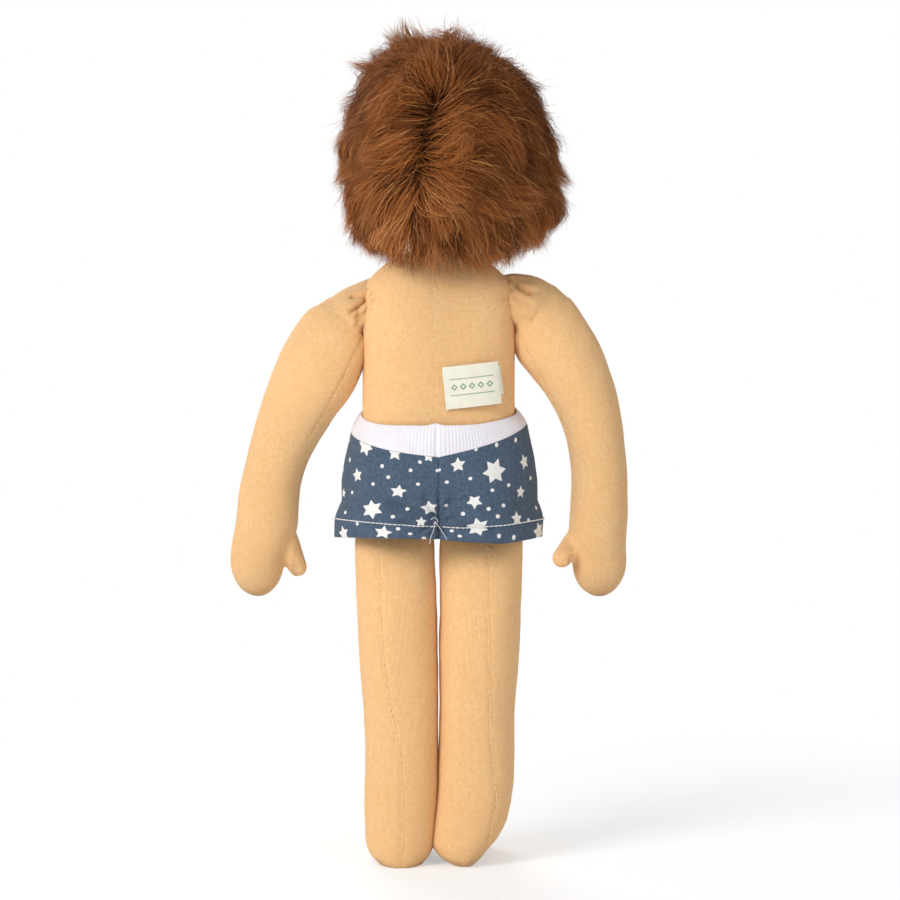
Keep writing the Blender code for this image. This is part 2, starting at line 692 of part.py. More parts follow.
def head_rings(inset, groove=0.0, past_neck=False):
    """Cross-sections up the head from the neck's end, inset from its outer surface."""
    rings = []
    end = math.sqrt(NECK_RADIUS**2 - NECK_DEPTH**2)
    neck = [(-NECK_DEPTH, end), (0.0, NECK_RADIUS), (NECK_WAIST_RISE, NECK_RADIUS - NECK_WAIST_SINK)]
    if past_neck:
        neck.insert(0, (-NECK_DEPTH - OVERRUN, end))
    for rise, radius in neck:
        size = radius - inset
        rings.append(disc(rise * UP_Z, SIDE_X, BACK_Y, size, BODY_SIDES))
    for degrees, front, tied in HEAD_SHARES:
        latitude = math.radians(degrees)
        sink = inset + groove * tied
        size = math.cos(latitude)
        centre = (HEAD_RISE + (HEAD_HEIGHT / 2 - inset) * math.sin(latitude)) * UP_Z
        half_width = (HEAD_WIDTH / 2 - inset) * size - groove * tied
        half_front = (HEAD_DEPTH / 2 * front - inset) * size - groove * tied
        half_back = (HEAD_DEPTH / 2 - sink) * size
        halves = (half_width, half_back, half_front)
        rings.append(ring(centre, SIDE_X, BACK_Y, halves, HEAD_POWER, BODY_SIDES))
    return rings


def head_front(x, rise):
    """How far forward the face is at this place."""
    up = (rise - HEAD_RISE) / (HEAD_HEIGHT / 2)
    size = math.sqrt(1 - up**2)
    degrees = math.degrees(math.asin(up))
    front = 1.0
    for low, high in zip(HEAD_SHARES, HEAD_SHARES[1:]):
        if low[0] <= degrees <= high[0]:
            front = low[1] + (high[1] - low[1]) * (degrees - low[0]) / (high[0] - low[0])
    share = abs(x) / (HEAD_WIDTH / 2 * size)
    return HEAD_DEPTH / 2 * front * size * (1 - share**HEAD_POWER) ** (1 / HEAD_POWER)


def head(parent, looks):
    """The head from outside in: its skin, the gauze tube that shapes it, and the wool core."""
    crown = (HEAD_RISE + HEAD_HEIGHT / 2) * UP_Z

    def layer(name, inset, groove, look=None, past_neck=False):
        rings = head_rings(inset, groove, past_neck)
        return loft(name, rings, parent, look, last_tip=crown - inset * UP_Z)

    skin = layer("head_skin", 0.0, 0.0, looks["skin"])
    combine(skin, layer("head_hollow", SKIN_WALL, 0.0, past_neck=True), "DIFFERENCE")
    outside = SKIN_WALL + FIT_GAP
    inside = outside + TUBE_WALL
    groove = TIE_THREAD + 2 * FIT_GAP
    tube = layer("inner_head_tube", outside, groove, looks["gauze"])
    combine(tube, layer("tube_hollow", inside, groove, past_neck=True), "DIFFERENCE")
    layer("head_wool", inside + FIT_GAP, groove, looks["wool"])


def eye_line(parent, look):
    """The thread that is tied round the inner head at the height of the eyes."""
    sink = SKIN_WALL + FIT_GAP + FIT_GAP + TIE_THREAD / 2
    latitude = math.radians(EYE_LATITUDE_DEGREES)
    front = next(row[1] for row in HEAD_SHARES if row[0] == EYE_LATITUDE_DEGREES)
    size = math.cos(latitude)
    outside = SKIN_WALL + FIT_GAP
    centre = (HEAD_RISE + (HEAD_HEIGHT / 2 - outside) * math.sin(latitude)) * UP_Z
    half_width = HEAD_WIDTH / 2 * size - sink
    half_front = HEAD_DEPTH / 2 * front * size - sink
    half_back = HEAD_DEPTH / 2 * size - sink
    points = ring(centre, SIDE_X, BACK_Y, (half_width, half_back, half_front), HEAD_POWER, BODY_SIDES)
    thread("eye_line_thread", points, TIE_THREAD, parent, look, closed=True)


def eyes(parent, look):
    """Two small round patches of embroidery that lie on the face."""
    rise = HEAD_RISE - EYE_DROP
    for label, side in (("left", 1), ("right", -1)):
        x = side * EYE_SPACING / 2
        front = head_front(abs(x) - EYE_RADIUS / 2, rise)
        fall = head_front(abs(x) - EYE_RADIUS, rise) - head_front(abs(x) + EYE_RADIUS, rise)
        slope = math.atan2(fall, 2 * EYE_RADIUS)
        across = Vector((math.cos(slope), side * math.sin(slope), 0.0))
        out = Vector((side * math.sin(slope), -math.cos(slope), 0.0))
        near = Vector((x, -front, rise)) + out * FIT_GAP
        middle = near + out * EYE_THICKNESS / 2
        low = disc(near, across, UP_Z, EYE_RADIUS, LIMB_SIDES)
        high = disc(middle, across, UP_Z, EYE_RADIUS, LIMB_SIDES)
        loft(f"{label}_eye", [low, high], parent, look, last_tip=near + out * EYE_THICKNESS)


def mouth(parent, look):
    """A short smile of embroidery thread."""
    points = []
    for share in (-1.0, -0.6, -0.2, 0.2, 0.6, 1.0):
        x = MOUTH_WIDTH / 2 * share
        rise = HEAD_RISE - MOUTH_DROP + MOUTH_SAG * share**2
        points.append(Vector((x, -head_front(x, rise) - FIT_GAP - TIE_THREAD / 2, rise)))
    thread("mouth", points, TIE_THREAD, parent, look)


def neck_tie(parent, look):
    """The ring of strong thread that ties the neck off and sits on the torso's neck rim."""
    radius = NECK_RADIUS + FIT_GAP + STRONG_THREAD / 2
    points = disc(Vector(), SIDE_X, BACK_Y, radius, RING_STEPS)
    thread("neck_tie_thread", points, STRONG_THREAD, parent, look, closed=True)


# Hair

def fur_volume(name, parent, look):
    """The whole outer shape of the combed fur."""
    height = FUR_TOP + FUR_NAPE
    rings = []
    for place, middle, width, front, back in FUR_SHARES:
        centre = -FUR_OFFSET * middle * SIDE_X + (HEAD_RISE - FUR_NAPE + height * place) * UP_Z
        halves = (FUR_WIDTH / 2 * width, FUR_BACK * back, FUR_FRONT * front)
        rings.append(ring(centre, SIDE_X, BACK_Y, halves, ROUND, BODY_SIDES))
    return loft(name, rings, parent, look, last_tip=(HEAD_RISE + FUR_TOP) * UP_Z)


def fur_panel(label, side, parent, look):
    """Half of the fur cap, cut away over the head, the face and the nape, and parted in the middle."""
    panel = fur_volume(f"{label}_fur_panel", parent, look)
    top = (HEAD_RISE + HEAD_HEIGHT / 2 + FIT_GAP) * UP_Z
    ball = loft(f"{label}_fur_head_cut", head_rings(-FIT_GAP)[1:], parent, last_tip=top)
    combine(panel, ball, "DIFFERENCE")
    tilt = math.radians(FACE_OPENING_TILT_DEGREES)
    way = Vector((0.0, -math.cos(tilt), -math.sin(tilt)))
    start = (HEAD_RISE - FACE_OPENING_DROP) * UP_Z
    end = start + way * (FUR_FRONT + FUR_BACK)
    radii = (FACE_OPENING_RADIUS, FACE_OPENING_RADIUS)
    combine(panel, drum(f"{label}_fur_face_cut", start, end, radii, parent), "DIFFERENCE")
    low, high = (HEAD_RISE - FUR_NAPE) * UP_Z, NAPE_OPENING_RISE * UP_Z
    radii = (NAPE_OPENING_RADIUS, NAPE_OPENING_TOP_RADIUS)
    combine(panel, drum(f"{label}_fur_nape_cut", low - FIT_GAP * UP_Z, high, radii, parent), "DIFFERENCE")
    parting = FIT_GAP / 2
    edges = sorted((side * parting, -side * FUR_WIDTH))
    corner = FUR_TOP + FUR_NAPE + HEAD_RISE
    low, high = Vector((edges[0], -corner, -corner)), Vector((edges[1], corner, corner))
    combine(panel, block(f"{label}_fur_half_cut", low, high, parent), "DIFFERENCE")


# Shorts

def shorts_lift(x, y, part):
    """How far the waist's tilt lifts a point: the back sits low and the doll's right side high."""
    half_depth = SHORTS_WAIST_DEPTH / 2
    half_width = SHORTS_WAIST_WIDTH / 2
    return part * (-WAIST_BACK_DIP * y / half_depth - WAIST_SIDE_LIFT * x / half_width)


def cloth_ring(rise, half_width, half_depth, part, fold_depth=0.0):
    """A round of cloth: tilted as part of the waist's tilt, with soft flutes of the fold depth."""
    points = []
    for i in range(SHORTS_SIDES):
        angle = 2 * math.pi * i / SHORTS_SIDES
        c, s = math.cos(angle), math.sin(angle)
        flute = fold_depth * math.cos(2 * FOLDS_PER_LEG * angle)
        x = math.copysign(abs(c) ** (2 / SHORTS_POWER), c) * (half_width + flute)
        y = math.copysign(abs(s) ** (2 / SHORTS_POWER), s) * (half_depth + flute)
        points.append(Vector((x, y, rise + shorts_lift(x, y, part))))
    return points


def shorts_size(part, out):
    """Half width, half depth and flute depth this far from hem size to waist size, moved out."""
    half_width = (SHORTS_HEM_WIDTH + (SHORTS_WAIST_WIDTH - SHORTS_HEM_WIDTH) * part) / 2 + out
    half_depth = (SHORTS_HEM_DEPTH + (SHORTS_WAIST_DEPTH - SHORTS_HEM_DEPTH) * part) / 2 + out
    return half_width, half_depth, FOLD_DEPTH * (1 - part)


def shorts_rings(inset, overrun):
    """Rounds of cloth from hem to waist, with one more past each end where the piece is a cutter."""
    rings = []
    last = len(SHORTS_SHARES) - 1
    for row, (place, part) in enumerate(SHORTS_SHARES):
        half_width, half_depth, flute = shorts_size(part, -inset)
        rise = -HEM_DROP + SHORTS_LENGTH * place
        steps = [0.0]
        if overrun and row == 0:
            steps = [-OVERRUN, 0.0]
        if overrun and row == last:
            steps = [0.0, OVERRUN]
        for step in steps:
            rings.append(cloth_ring(rise + step, half_width, half_depth, part, flute))
    return rings


def shorts_panel(label, side, parent, look):
    """Half of the shorts: a seat and one leg, with the inner leg wall below the crotch."""
    panel = loft(f"{label}_shorts_panel", shorts_rings(0.0, False), parent, look)
    reach = SHORTS_HEM_WIDTH
    edges = sorted((side * FIT_GAP / 2, -side * reach))
    low, high = Vector((edges[0], -reach, -reach)), Vector((edges[1], reach, reach))
    combine(panel, block(f"{label}_shorts_half_cut", low, high, parent), "DIFFERENCE")
    hollow = loft(f"{label}_shorts_hollow", shorts_rings(CLOTH_WALL, True), parent)
    wall = CLOTH_WALL + FIT_GAP / 2
    low, high = Vector((-wall, -reach, -HEM_DROP - 2 * OVERRUN)), Vector((wall, reach, -CROTCH_DROP))
    combine(hollow, block(f"{label}_crotch_wall", low, high, parent), "DIFFERENCE")
    combine(panel, hollow, "DIFFERENCE")


def waistband(parent, look):
    """The ribbed band: it hugs the waist at its top edge and flares to meet the cloth."""
    low = -HEM_DROP + SHORTS_LENGTH + FIT_GAP
    high = low + WAISTBAND_HEIGHT
    top_width = TORSO_WIDTH / 2 + FIT_GAP + WAISTBAND_WALL
    top_depth = TORSO_DEPTH / 2 + FIT_GAP + WAISTBAND_WALL
    bottom = (low, SHORTS_WAIST_WIDTH / 2, SHORTS_WAIST_DEPTH / 2, 1.0)
    top = (high, top_width, top_depth, BAND_TOP_TILT_SHARE)
    band = loft("waistband", [cloth_ring(*bottom), cloth_ring(*top)], parent, look)
    rings = []
    for (rise, width, depth, tilt), past in ((bottom, -OVERRUN), (bottom, 0.0), (top, 0.0), (top, OVERRUN)):
        rings.append(cloth_ring(rise + past, width - WAISTBAND_WALL, depth - WAISTBAND_WALL, tilt))
    combine(band, loft("waistband_hollow", rings, parent), "DIFFERENCE")


def hem_stitch(label, side, parent, look):
    """The white line of stitches above one leg's hem, from the back seam round to the front seam."""
    place = HEM_STITCH_RISE / SHORTS_LENGTH
    low = max(row for row in SHORTS_SHARES if row[0] <= place)
    high = min(row for row in SHORTS_SHARES if row[0] > place)
    part = low[1] + (high[1] - low[1]) * (place - low[0]) / (high[0] - low[0])
    half_width, half_depth, flute = shorts_size(part, FIT_GAP + SEWING_THREAD / 2)
    points = cloth_ring(-HEM_DROP + HEM_STITCH_RISE, half_width, half_depth, part, flute)
    quarter = SHORTS_SIDES // 4
    kept = points[-quarter + 1 :] + points[:quarter] if side > 0 else points[quarter + 1 : 3 * quarter]
    thread(f"{label}_hem_stitch", kept, SEWING_THREAD, parent, look)


# Labels

LABEL_STEPS = 5


def label_leaf(name, width, height, bottom, depth_out, parent, look):
    """A woven leaf that is sewn in at the back seam and lifts away from the back at its free end."""
    tilt = math.tan(math.radians(LABEL_TILT_DEGREES))
    mesh_tool = bmesh.new()
    columns = []
    for i in range(LABEL_STEPS + 1):
        share = i / LABEL_STEPS
        run = LABEL_SEAM_OFFSET + width * share
        y = torso_back(run, bottom + height / 2) + depth_out + LABEL_LIFT * share**2
        low, high = bottom + run * tilt, bottom + height + run * tilt
        corners = ((y, low), (y + LABEL_THICKNESS, low), (y + LABEL_THICKNESS, high), (y, high))
        columns.append([mesh_tool.verts.new((-run, out, rise)) for out, rise in corners])
    for near, far in zip(columns, columns[1:]):
        for i in range(4):
            j = (i + 1) % 4
            mesh_tool.faces.new((near[i], near[j], far[j], far[i]))
    for corners in (columns[0], columns[-1]):
        mesh_tool.faces.new(corners)
    return link_mesh(name, mesh_tool, parent, look)


def labels(parent, look):
    """Two leaves at the right of the back seam, the wider one behind."""
    width = LABEL_WIDTH + CARE_LABEL_EXTRA
    label_leaf("care_label", width, CARE_LABEL_HEIGHT, CARE_LABEL_BOTTOM_RISE, FIT_GAP, parent, look)
    out = FIT_GAP + LABEL_THICKNESS + FIT_GAP
    label_leaf("front_label", LABEL_WIDTH, LABEL_HEIGHT, LABEL_BOTTOM_RISE, out, parent, look)


def ankle_stitch(label, side, parent, look):
    """The stitches across the front of the ankle that turn the foot forward."""
    middle = -side * LEG_TOE_IN * SIDE_X
    half_width = LEG_WIDTH / 2 * LEG_SHARES[-1][2]
    half_depth = LEG_DEPTH / 2 * LEG_SHARES[-1][3]
    points = []
    for degrees in (-42.0, -28.0, -14.0, 0.0, 14.0, 28.0, 42.0):
        angle = math.radians(degrees)
        out = FIT_GAP + SEWING_THREAD / 2
        x = (half_width + out) * math.sin(angle)
        y = -(half_depth + out) * math.cos(angle)
        points.append(middle + Vector((x, y, -LEG_LENGTH + ANKLE_STITCH_HEIGHT)))
    thread(f"{label}_ankle_stitch", points, SEWING_THREAD, parent, look)


def centre_on_origin(root):
    """Moves the doll so that the middle of its whole outline stands over the origin."""
    bpy.context.view_layer.update()
    graph = bpy.context.evaluated_depsgraph_get()
    corners = []
    for obj in bpy.data.objects:
        if obj.type == "MESH" and not obj.hide_render:
            shape = obj.evaluated_get(graph)
            corners += [shape.matrix_world @ Vector(corner) for corner in shape.bound_box]
    for axis in range(2):
        values = [corner[axis] for corner in corners]
        root.location[axis] = -(min(values) + max(values)) / 2


def build():
    clear_scene()
    looks = {
        "skin": material("skin_jersey", rgb(247, 203, 150), 0.85),
        "wool": material("wool", rgb(238, 230, 212), 0.95),
        "gauze": material("gauze", rgb(236, 232, 222), 0.9),
    }
    thread_look = material("skin_thread", rgb(240, 192, 140), 0.8)
    white_thread = material("white_thread", rgb(240, 238, 235), 0.8)
    eye_look = material("eye_thread", rgb(70, 60, 55), 0.7)
    mouth_look = material("mouth_thread", rgb(196, 96, 84), 0.7)
    fur_look = material("fur", rgb(112, 66, 34), 0.8)
    print_look = material("star_print", rgb(80, 102, 132), 0.9)
    band_look = material("rib_knit", rgb(242, 240, 243), 0.9)
    label_look = material("label_cloth", rgb(236, 236, 214), 0.85)

    root = empty("doll")
    hips = empty("hip_line", root, (0.0, 0.0, LEG_LENGTH))
    torso(hips, looks)
    back_seam(hips, thread_look)
    labels(hips, label_look)
    waistband(hips, band_look)
    for label, side in (("left", 1), ("right", -1)):
        shorts_panel(label, side, hips, print_look)
        hem_stitch(label, side, hips, white_thread)
        hip = empty(f"{label}_hip", hips, (side * LEG_SPACING / 2, 0.0, 0.0))
        hip_seam(label, hip, thread_look)
        leg(label, side, hip, looks)
        ankle_stitch(label, side, hip, thread_look)

    left_thumb = (LEFT_THUMB_START_SHARES, LEFT_THUMB_WAY)
    right_thumb = (RIGHT_THUMB_START_SHARES, RIGHT_THUMB_WAY)
    arms = (
        ("left", 1, LEFT_ARM_SHARES, LEFT_ARM_SPREAD, left_thumb, 0.0),
        ("right", -1, RIGHT_ARM_SHARES, RIGHT_ARM_SPREAD, right_thumb, RIGHT_SHOULDER_LIFT),
    )
    for label, side, rows, spread, thumb, lift in arms:
        shoulder = empty(f"{label}_shoulder", hips, (side * TORSO_WIDTH / 2, 0.0, TORSO_HEIGHT - SHOULDER_DROP + lift))
        shoulder_ring(label, side, shoulder, thread_look)
        arm(label, side, rows, spread, thumb, shoulder, looks)

    neck = empty("neck", hips, (0.0, 0.0, NECK_RISE))
    neck_tie(neck, thread_look)
    skull = empty("head", neck, lean_degrees=-HEAD_LEAN_DEGREES)
    head(skull, looks)
    eye_line(skull, white_thread)
    eyes(skull, eye_look)
    mouth(skull, mouth_look)
    for label, side in (("left", 1), ("right", -1)):
        fur_panel(label, side, skull, fur_look)
    centre_on_origin(root)


build()
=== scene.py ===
import json
import math

import bmesh
import bpy
import numpy as np
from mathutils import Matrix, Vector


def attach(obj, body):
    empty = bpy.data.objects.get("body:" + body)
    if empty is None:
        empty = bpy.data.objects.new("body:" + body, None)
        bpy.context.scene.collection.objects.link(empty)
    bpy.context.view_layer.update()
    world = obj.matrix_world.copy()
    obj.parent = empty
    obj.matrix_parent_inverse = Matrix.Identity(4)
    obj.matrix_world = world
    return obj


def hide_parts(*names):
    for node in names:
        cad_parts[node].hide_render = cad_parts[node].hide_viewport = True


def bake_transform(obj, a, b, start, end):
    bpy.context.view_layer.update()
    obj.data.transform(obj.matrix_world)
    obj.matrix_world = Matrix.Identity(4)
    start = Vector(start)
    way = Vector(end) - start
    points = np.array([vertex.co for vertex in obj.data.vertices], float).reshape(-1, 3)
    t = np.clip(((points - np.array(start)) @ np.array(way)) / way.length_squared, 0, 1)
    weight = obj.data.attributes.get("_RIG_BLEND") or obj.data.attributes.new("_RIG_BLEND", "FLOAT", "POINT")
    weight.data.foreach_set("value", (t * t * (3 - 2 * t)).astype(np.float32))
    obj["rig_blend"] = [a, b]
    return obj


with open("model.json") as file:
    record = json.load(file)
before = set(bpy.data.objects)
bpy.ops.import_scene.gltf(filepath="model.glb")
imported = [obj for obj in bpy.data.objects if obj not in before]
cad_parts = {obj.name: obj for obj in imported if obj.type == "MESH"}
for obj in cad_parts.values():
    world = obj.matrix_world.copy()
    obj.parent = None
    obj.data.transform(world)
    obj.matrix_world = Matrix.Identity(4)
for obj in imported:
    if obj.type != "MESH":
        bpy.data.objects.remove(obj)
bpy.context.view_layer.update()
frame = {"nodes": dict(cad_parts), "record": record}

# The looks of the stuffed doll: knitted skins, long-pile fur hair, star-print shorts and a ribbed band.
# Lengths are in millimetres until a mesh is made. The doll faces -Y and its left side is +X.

MM = 0.001
SIDE_X = np.array((1.0, 0.0, 0.0))
BACK_Y = np.array((0.0, 1.0, 0.0))
UP_Z = np.array((0.0, 0.0, 1.0))
SIDES = (("left", 1), ("right", -1))


def joint_place(name):
    """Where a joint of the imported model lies, in millimetres."""
    joints = frame["record"]["behaviour"]["joints"]
    return np.array(next(joint["pos_m"] for joint in joints if joint["name"] == name)) / MM


NECK = joint_place("head_turn")
HIP_LINE = np.array((NECK[0], NECK[1], joint_place("left_hip")[2]))

# Sizes of the solids, repeated from the source
FIT_GAP = 0.3
LEG_LENGTH = 164.0
LEG_WIDTH = 35.8
LEG_DEPTH = 35.0
LEG_TOE_IN = 2.9
LEG_TOP_DROP = 1.0
LEG_MOUTH_HALF = 0.8
LEG_MOUTH_WIDTH_SHARE = 0.92
HEEL_ROUNDING = 14.0
FOOT_LENGTH = 61.0
FOOT_WIDTH = 32.5
FOOT_HEIGHT = 28.0
TORSO_BOTTOM_RISE = 1.58
TORSO_HEIGHT = 114.5
TORSO_WIDTH = 69.0
TORSO_DEPTH = 45.0
TORSO_SEAM_HALF = 0.8
TORSO_SEAM_WIDTH_SHARE = 0.95
NECK_RIM_RADIUS = 12.8
ARM_START = 2.0
ARM_ROOT_RADIUS = 10.8
ARM_LENGTH = 131.3
ARM_SPREADS = {"left": 46.2, "right": 37.1}
ARM_WIDTH = 36.4
ARM_DEPTH = 33.0
HAND_REACH = 16.8
THUMB_LENGTH = 13.6
THUMB_BASE_RADIUS = 4.9
THUMB_TIP_RADIUS = 3.4
NECK_RADIUS = 12.0
NECK_DEPTH = 6.0
NECK_WAIST_RISE = 4.6
NECK_WAIST_SINK = 0.5
HEAD_RISE = 43.0
HEAD_WIDTH = 84.0
HEAD_DEPTH = 81.0
HEAD_HEIGHT = 84.0
HEAD_LEAN_DEGREES = -4.5
EYE_DROP = 1.4
EYE_SPACING = 27.0
EYE_RADIUS = 1.9
MOUTH_WIDTH = 9.0
MOUTH_DROP = 14.5
MOUTH_SAG = 1.3
FUR_TOP = 56.4
FUR_NAPE = 49.5
FUR_WIDTH = 101.0
FUR_FRONT = 44.0
FUR_BACK = 53.0
FUR_OFFSET = 3.6
FACE_OPENING_RADIUS = 35.0
FACE_OPENING_TILT_DEGREES = 24.0
FACE_OPENING_DROP = 7.0
HEM_DROP = 15.0
SHORTS_LENGTH = 46.7
SHORTS_HEM_WIDTH = 95.4
SHORTS_WAIST_WIDTH = 80.0
SHORTS_HEM_DEPTH = 61.0
SHORTS_WAIST_DEPTH = 52.0
CROTCH_DROP = 7.0
FOLD_DEPTH = 1.3
FOLDS_PER_LEG = 3
WAISTBAND_HEIGHT = 10.4
WAISTBAND_WALL = 1.3
WAIST_BACK_DIP = 7.5
WAIST_SIDE_LIFT = 1.6
BAND_TOP_TILT_SHARE = 0.6
HEM_STITCH_RISE = 8.2
LABEL_WIDTH = 25.0
LABEL_HEIGHT = 19.0
LABEL_THICKNESS = 0.4
LABEL_BOTTOM_RISE = 45.5
LABEL_TILT_DEGREES = 6.0
LABEL_LIFT = 3.2
LABEL_SEAM_OFFSET = 1.4
CARE_LABEL_EXTRA = 0.9
CARE_LABEL_HEIGHT = 13.0
CARE_LABEL_BOTTOM_RISE = 49.5

ROUND = 2.0
FOOT_POWER = 2.5
TORSO_POWER = 2.35
HEAD_POWER = 2.05
SHORTS_POWER = 2.3
HEEL_SIDE_POWER = 2.3
HEEL_BACK_POWER = 4.5

# Rows run down the leg: place along it, drift towards the toe-in, width, depth.
LEG_SHARES = (
    (0.037, 0.00, 0.955, 0.262),
    (0.073, 0.00, 0.980, 0.510),
    (0.122, 0.02, 1.000, 0.760),
    (0.183, 0.08, 1.000, 0.945),
    (0.260, 0.18, 1.000, 1.000),
    (0.430, 0.48, 0.975, 0.965),
    (0.560, 0.82, 0.925, 0.930),
    (0.700, 1.00, 0.922, 0.905),
    (0.800, 1.00, 0.938, 0.910),
    (0.890, 1.00, 0.945, 0.905),
)

# Rows run forward along the foot: place from heel to toe, width, height.
FOOT_SHARES = (
    (0.22, 0.86, 0.90),
    (0.42, 0.97, 1.06),
    (0.60, 1.00, 1.00),
    (0.76, 0.97, 0.90),
)
TOE_LIFT_SHARE = 0.8

# Rows run up the torso: height, width, depth.
TORSO_SHARES = (
    (0.042, 0.975, 0.205),
    (0.095, 0.985, 0.440),
    (0.165, 0.995, 0.685),
    (0.255, 1.000, 0.880),
    (0.370, 1.000, 0.985),
    (0.540, 1.000, 1.000),
    (0.700, 1.000, 0.960),
    (0.800, 0.985, 0.880),
    (0.868, 0.945, 0.790),
    (0.918, 0.800, 0.700),
    (0.962, 0.620, 0.620),
)

# Rows run down the arm: place outward, drop, tilt of the cross-section in degrees, width, depth.
ARM_SHARES = {
    "left": (
        (0.156, 0.034, 54.0, 0.66, 0.62),
        (0.286, 0.089, 26.0, 0.79, 0.76),
        (0.370, 0.160, 16.0, 0.935, 0.90),
        (0.458, 0.248, 20.0, 1.000, 1.00),
        (0.583, 0.334, 22.0, 0.895, 0.95),
        (0.691, 0.417, 21.0, 0.825, 0.89),
        (0.775, 0.499, 17.0, 0.765, 0.84),
        (0.838, 0.582, 13.0, 0.742, 0.81),
        (0.881, 0.665, 8.0, 0.764, 0.81),
        (0.907, 0.748, 6.0, 0.775, 0.80),
        (0.962, 0.820, 3.0, 0.728, 0.75),
        (0.996, 0.872, 0.0, 0.670, 0.68),
    ),
    "right": (
        (0.232, 0.022, 55.0, 0.74, 0.64),
        (0.391, 0.090, 26.0, 0.850, 0.78),
        (0.501, 0.160, 19.0, 0.955, 0.92),
        (0.706, 0.265, 22.0, 0.850, 0.97),
        (0.830, 0.348, 18.0, 0.785, 0.93),
        (0.903, 0.431, 12.0, 0.735, 0.88),
        (0.951, 0.514, 8.0, 0.705, 0.84),
        (0.976, 0.596, 3.0, 0.700, 0.81),
        (0.981, 0.680, 0.0, 0.712, 0.81),
        (0.970, 0.762, -1.0, 0.736, 0.80),
        (0.951, 0.834, 0.0, 0.728, 0.75),
        (0.976, 0.884, 0.0, 0.690, 0.68),
    ),
}

# Where each thumb starts (outward, drop) and which way it points (outward, back, down).
THUMB_START_SHARES = {"left": (0.72, 0.805), "right": (0.70, 0.820)}
THUMB_WAYS = {"left": (-0.40, -0.10, -0.91), "right": (-0.50, 0.72, -0.48)}

# Rows run up the head ball: latitude in degrees and front depth.
HEAD_SHARES = (
    (-62.0, 0.90),
    (-48.0, 0.97),
    (-34.0, 1.01),
    (-20.0, 1.01),
    (-9.0, 0.985),
    (-2.0, 0.965),
    (5.0, 0.970),
    (18.0, 0.990),
    (32.0, 1.000),
    (47.0, 1.000),
    (62.0, 1.000),
    (76.0, 1.000),
)

# Rows run up the fur: height from nape to crown, middle of the row, width, front, back.
FUR_SHARES = (
    (0.000, -0.05, 0.50, 0.30, 0.66),
    (0.055, -0.06, 0.74, 0.55, 0.84),
    (0.125, 0.00, 0.87, 0.80, 0.94),
    (0.230, 0.28, 0.975, 0.94, 1.00),
    (0.340, 0.34, 1.00, 1.00, 1.00),
    (0.450, 0.18, 1.00, 1.00, 1.00),
    (0.560, 0.00, 0.985, 1.00, 0.98),
    (0.670, -0.22, 0.915, 0.96, 0.94),
    (0.780, -0.34, 0.820, 0.86, 0.86),
    (0.880, -0.72, 0.700, 0.70, 0.72),
    (0.960, -0.72, 0.440, 0.42, 0.44),
    (1.000, -0.72, 0.010, 0.01, 0.01),
)

# Rows run up the shorts: height from hem to waist, place between hem and waist size.
SHORTS_SHARES = (
    (0.00, 0.00),
    (0.20, 0.03),
    (0.42, 0.30),
    (0.70, 0.62),
    (1.00, 1.00),
)


# Colours and nodes

def rgb(red, green, blue):
    """A colour written from 0 to 255 as it looks on screen, as the linear value that a shader takes."""
    shown = (red / 255, green / 255, blue / 255)
    return tuple(c / 12.92 if c <= 0.04045 else ((c + 0.055) / 1.055) ** 2.4 for c in shown) + (1.0,)


def put(tree, kind, inputs=(), **settings):
    """Adds a node, sets it, and gives each named input a value or another node's output."""
    made = tree.nodes.new(kind)
    for key, value in settings.items():
        setattr(made, key, value)
    for key, value in dict(inputs).items():
        if isinstance(value, bpy.types.NodeSocket):
            tree.links.new(value, made.inputs[key])
        else:
            made.inputs[key].default_value = value
    return made


def calc(tree, operation, *values):
    return put(tree, "ShaderNodeMath", dict(enumerate(values)), operation=operation).outputs[0]


def mix(tree, share, low, high):
    return put(tree, "ShaderNodeMix", {0: share, 6: low, 7: high}, data_type="RGBA").outputs[2]


def attribute(tree, name):
    return put(tree, "ShaderNodeAttribute", attribute_name=name).outputs["Fac"]


def noise(tree, size_mm, detail=2.0, stretch=(1.0, 1.0, 1.0)):
    """Noise whose largest lumps have this size, stretched along the axes."""
    place = put(tree, "ShaderNodeTexCoord").outputs["Object"]
    place = put(tree, "ShaderNodeMapping", {"Vector": place, "Scale": stretch}).outputs[0]
    inputs = {"Vector": place, "Scale": 1 / (size_mm * MM), "Detail": detail}
    return put(tree, "ShaderNodeTexNoise", inputs).outputs["Fac"]


def spread(tree, value, low, high):
    """Stretches the range from low to high to 0 to 1."""
    inputs = {"Value": value, "From Min": low, "From Max": high}
    return put(tree, "ShaderNodeMapRange", inputs).outputs[0]


def shade(tree, value, low, high, first, last):
    """Runs from the first colour to the last while the value goes from low to high."""
    return mix(tree, spread(tree, value, low, high), first, last)


def new_look(name, roughness, sheen, specular):
    """A new material and its tree. Its plain numbers are set on the shader's own sockets."""
    made = bpy.data.materials.new(name)
    made.use_nodes = True
    plain = {"Roughness": roughness, "Sheen Weight": sheen, "Sheen Roughness": 0.5,
             "Specular IOR Level": specular}
    for key, value in plain.items():
        made.node_tree.nodes["Principled BSDF"].inputs[key].default_value = value
    return made, made.node_tree


def finished(look, colour, height=None, depth_mm=0.0, strength=1.0):
    """Gives a material its colour and, where it has one, its bump."""
    tree = look.node_tree
    shader = tree.nodes["Principled BSDF"]
    tree.links.new(colour, shader.inputs["Base Color"])
    if height is not None:
        inputs = {"Height": height, "Distance": depth_mm * MM, "Strength": strength}
        tree.links.new(put(tree, "ShaderNodeBump", inputs).outputs[0], shader.inputs["Normal"])
    return look


# Looks

WALE_PITCH = 1.05
COURSE_PITCH = 0.85


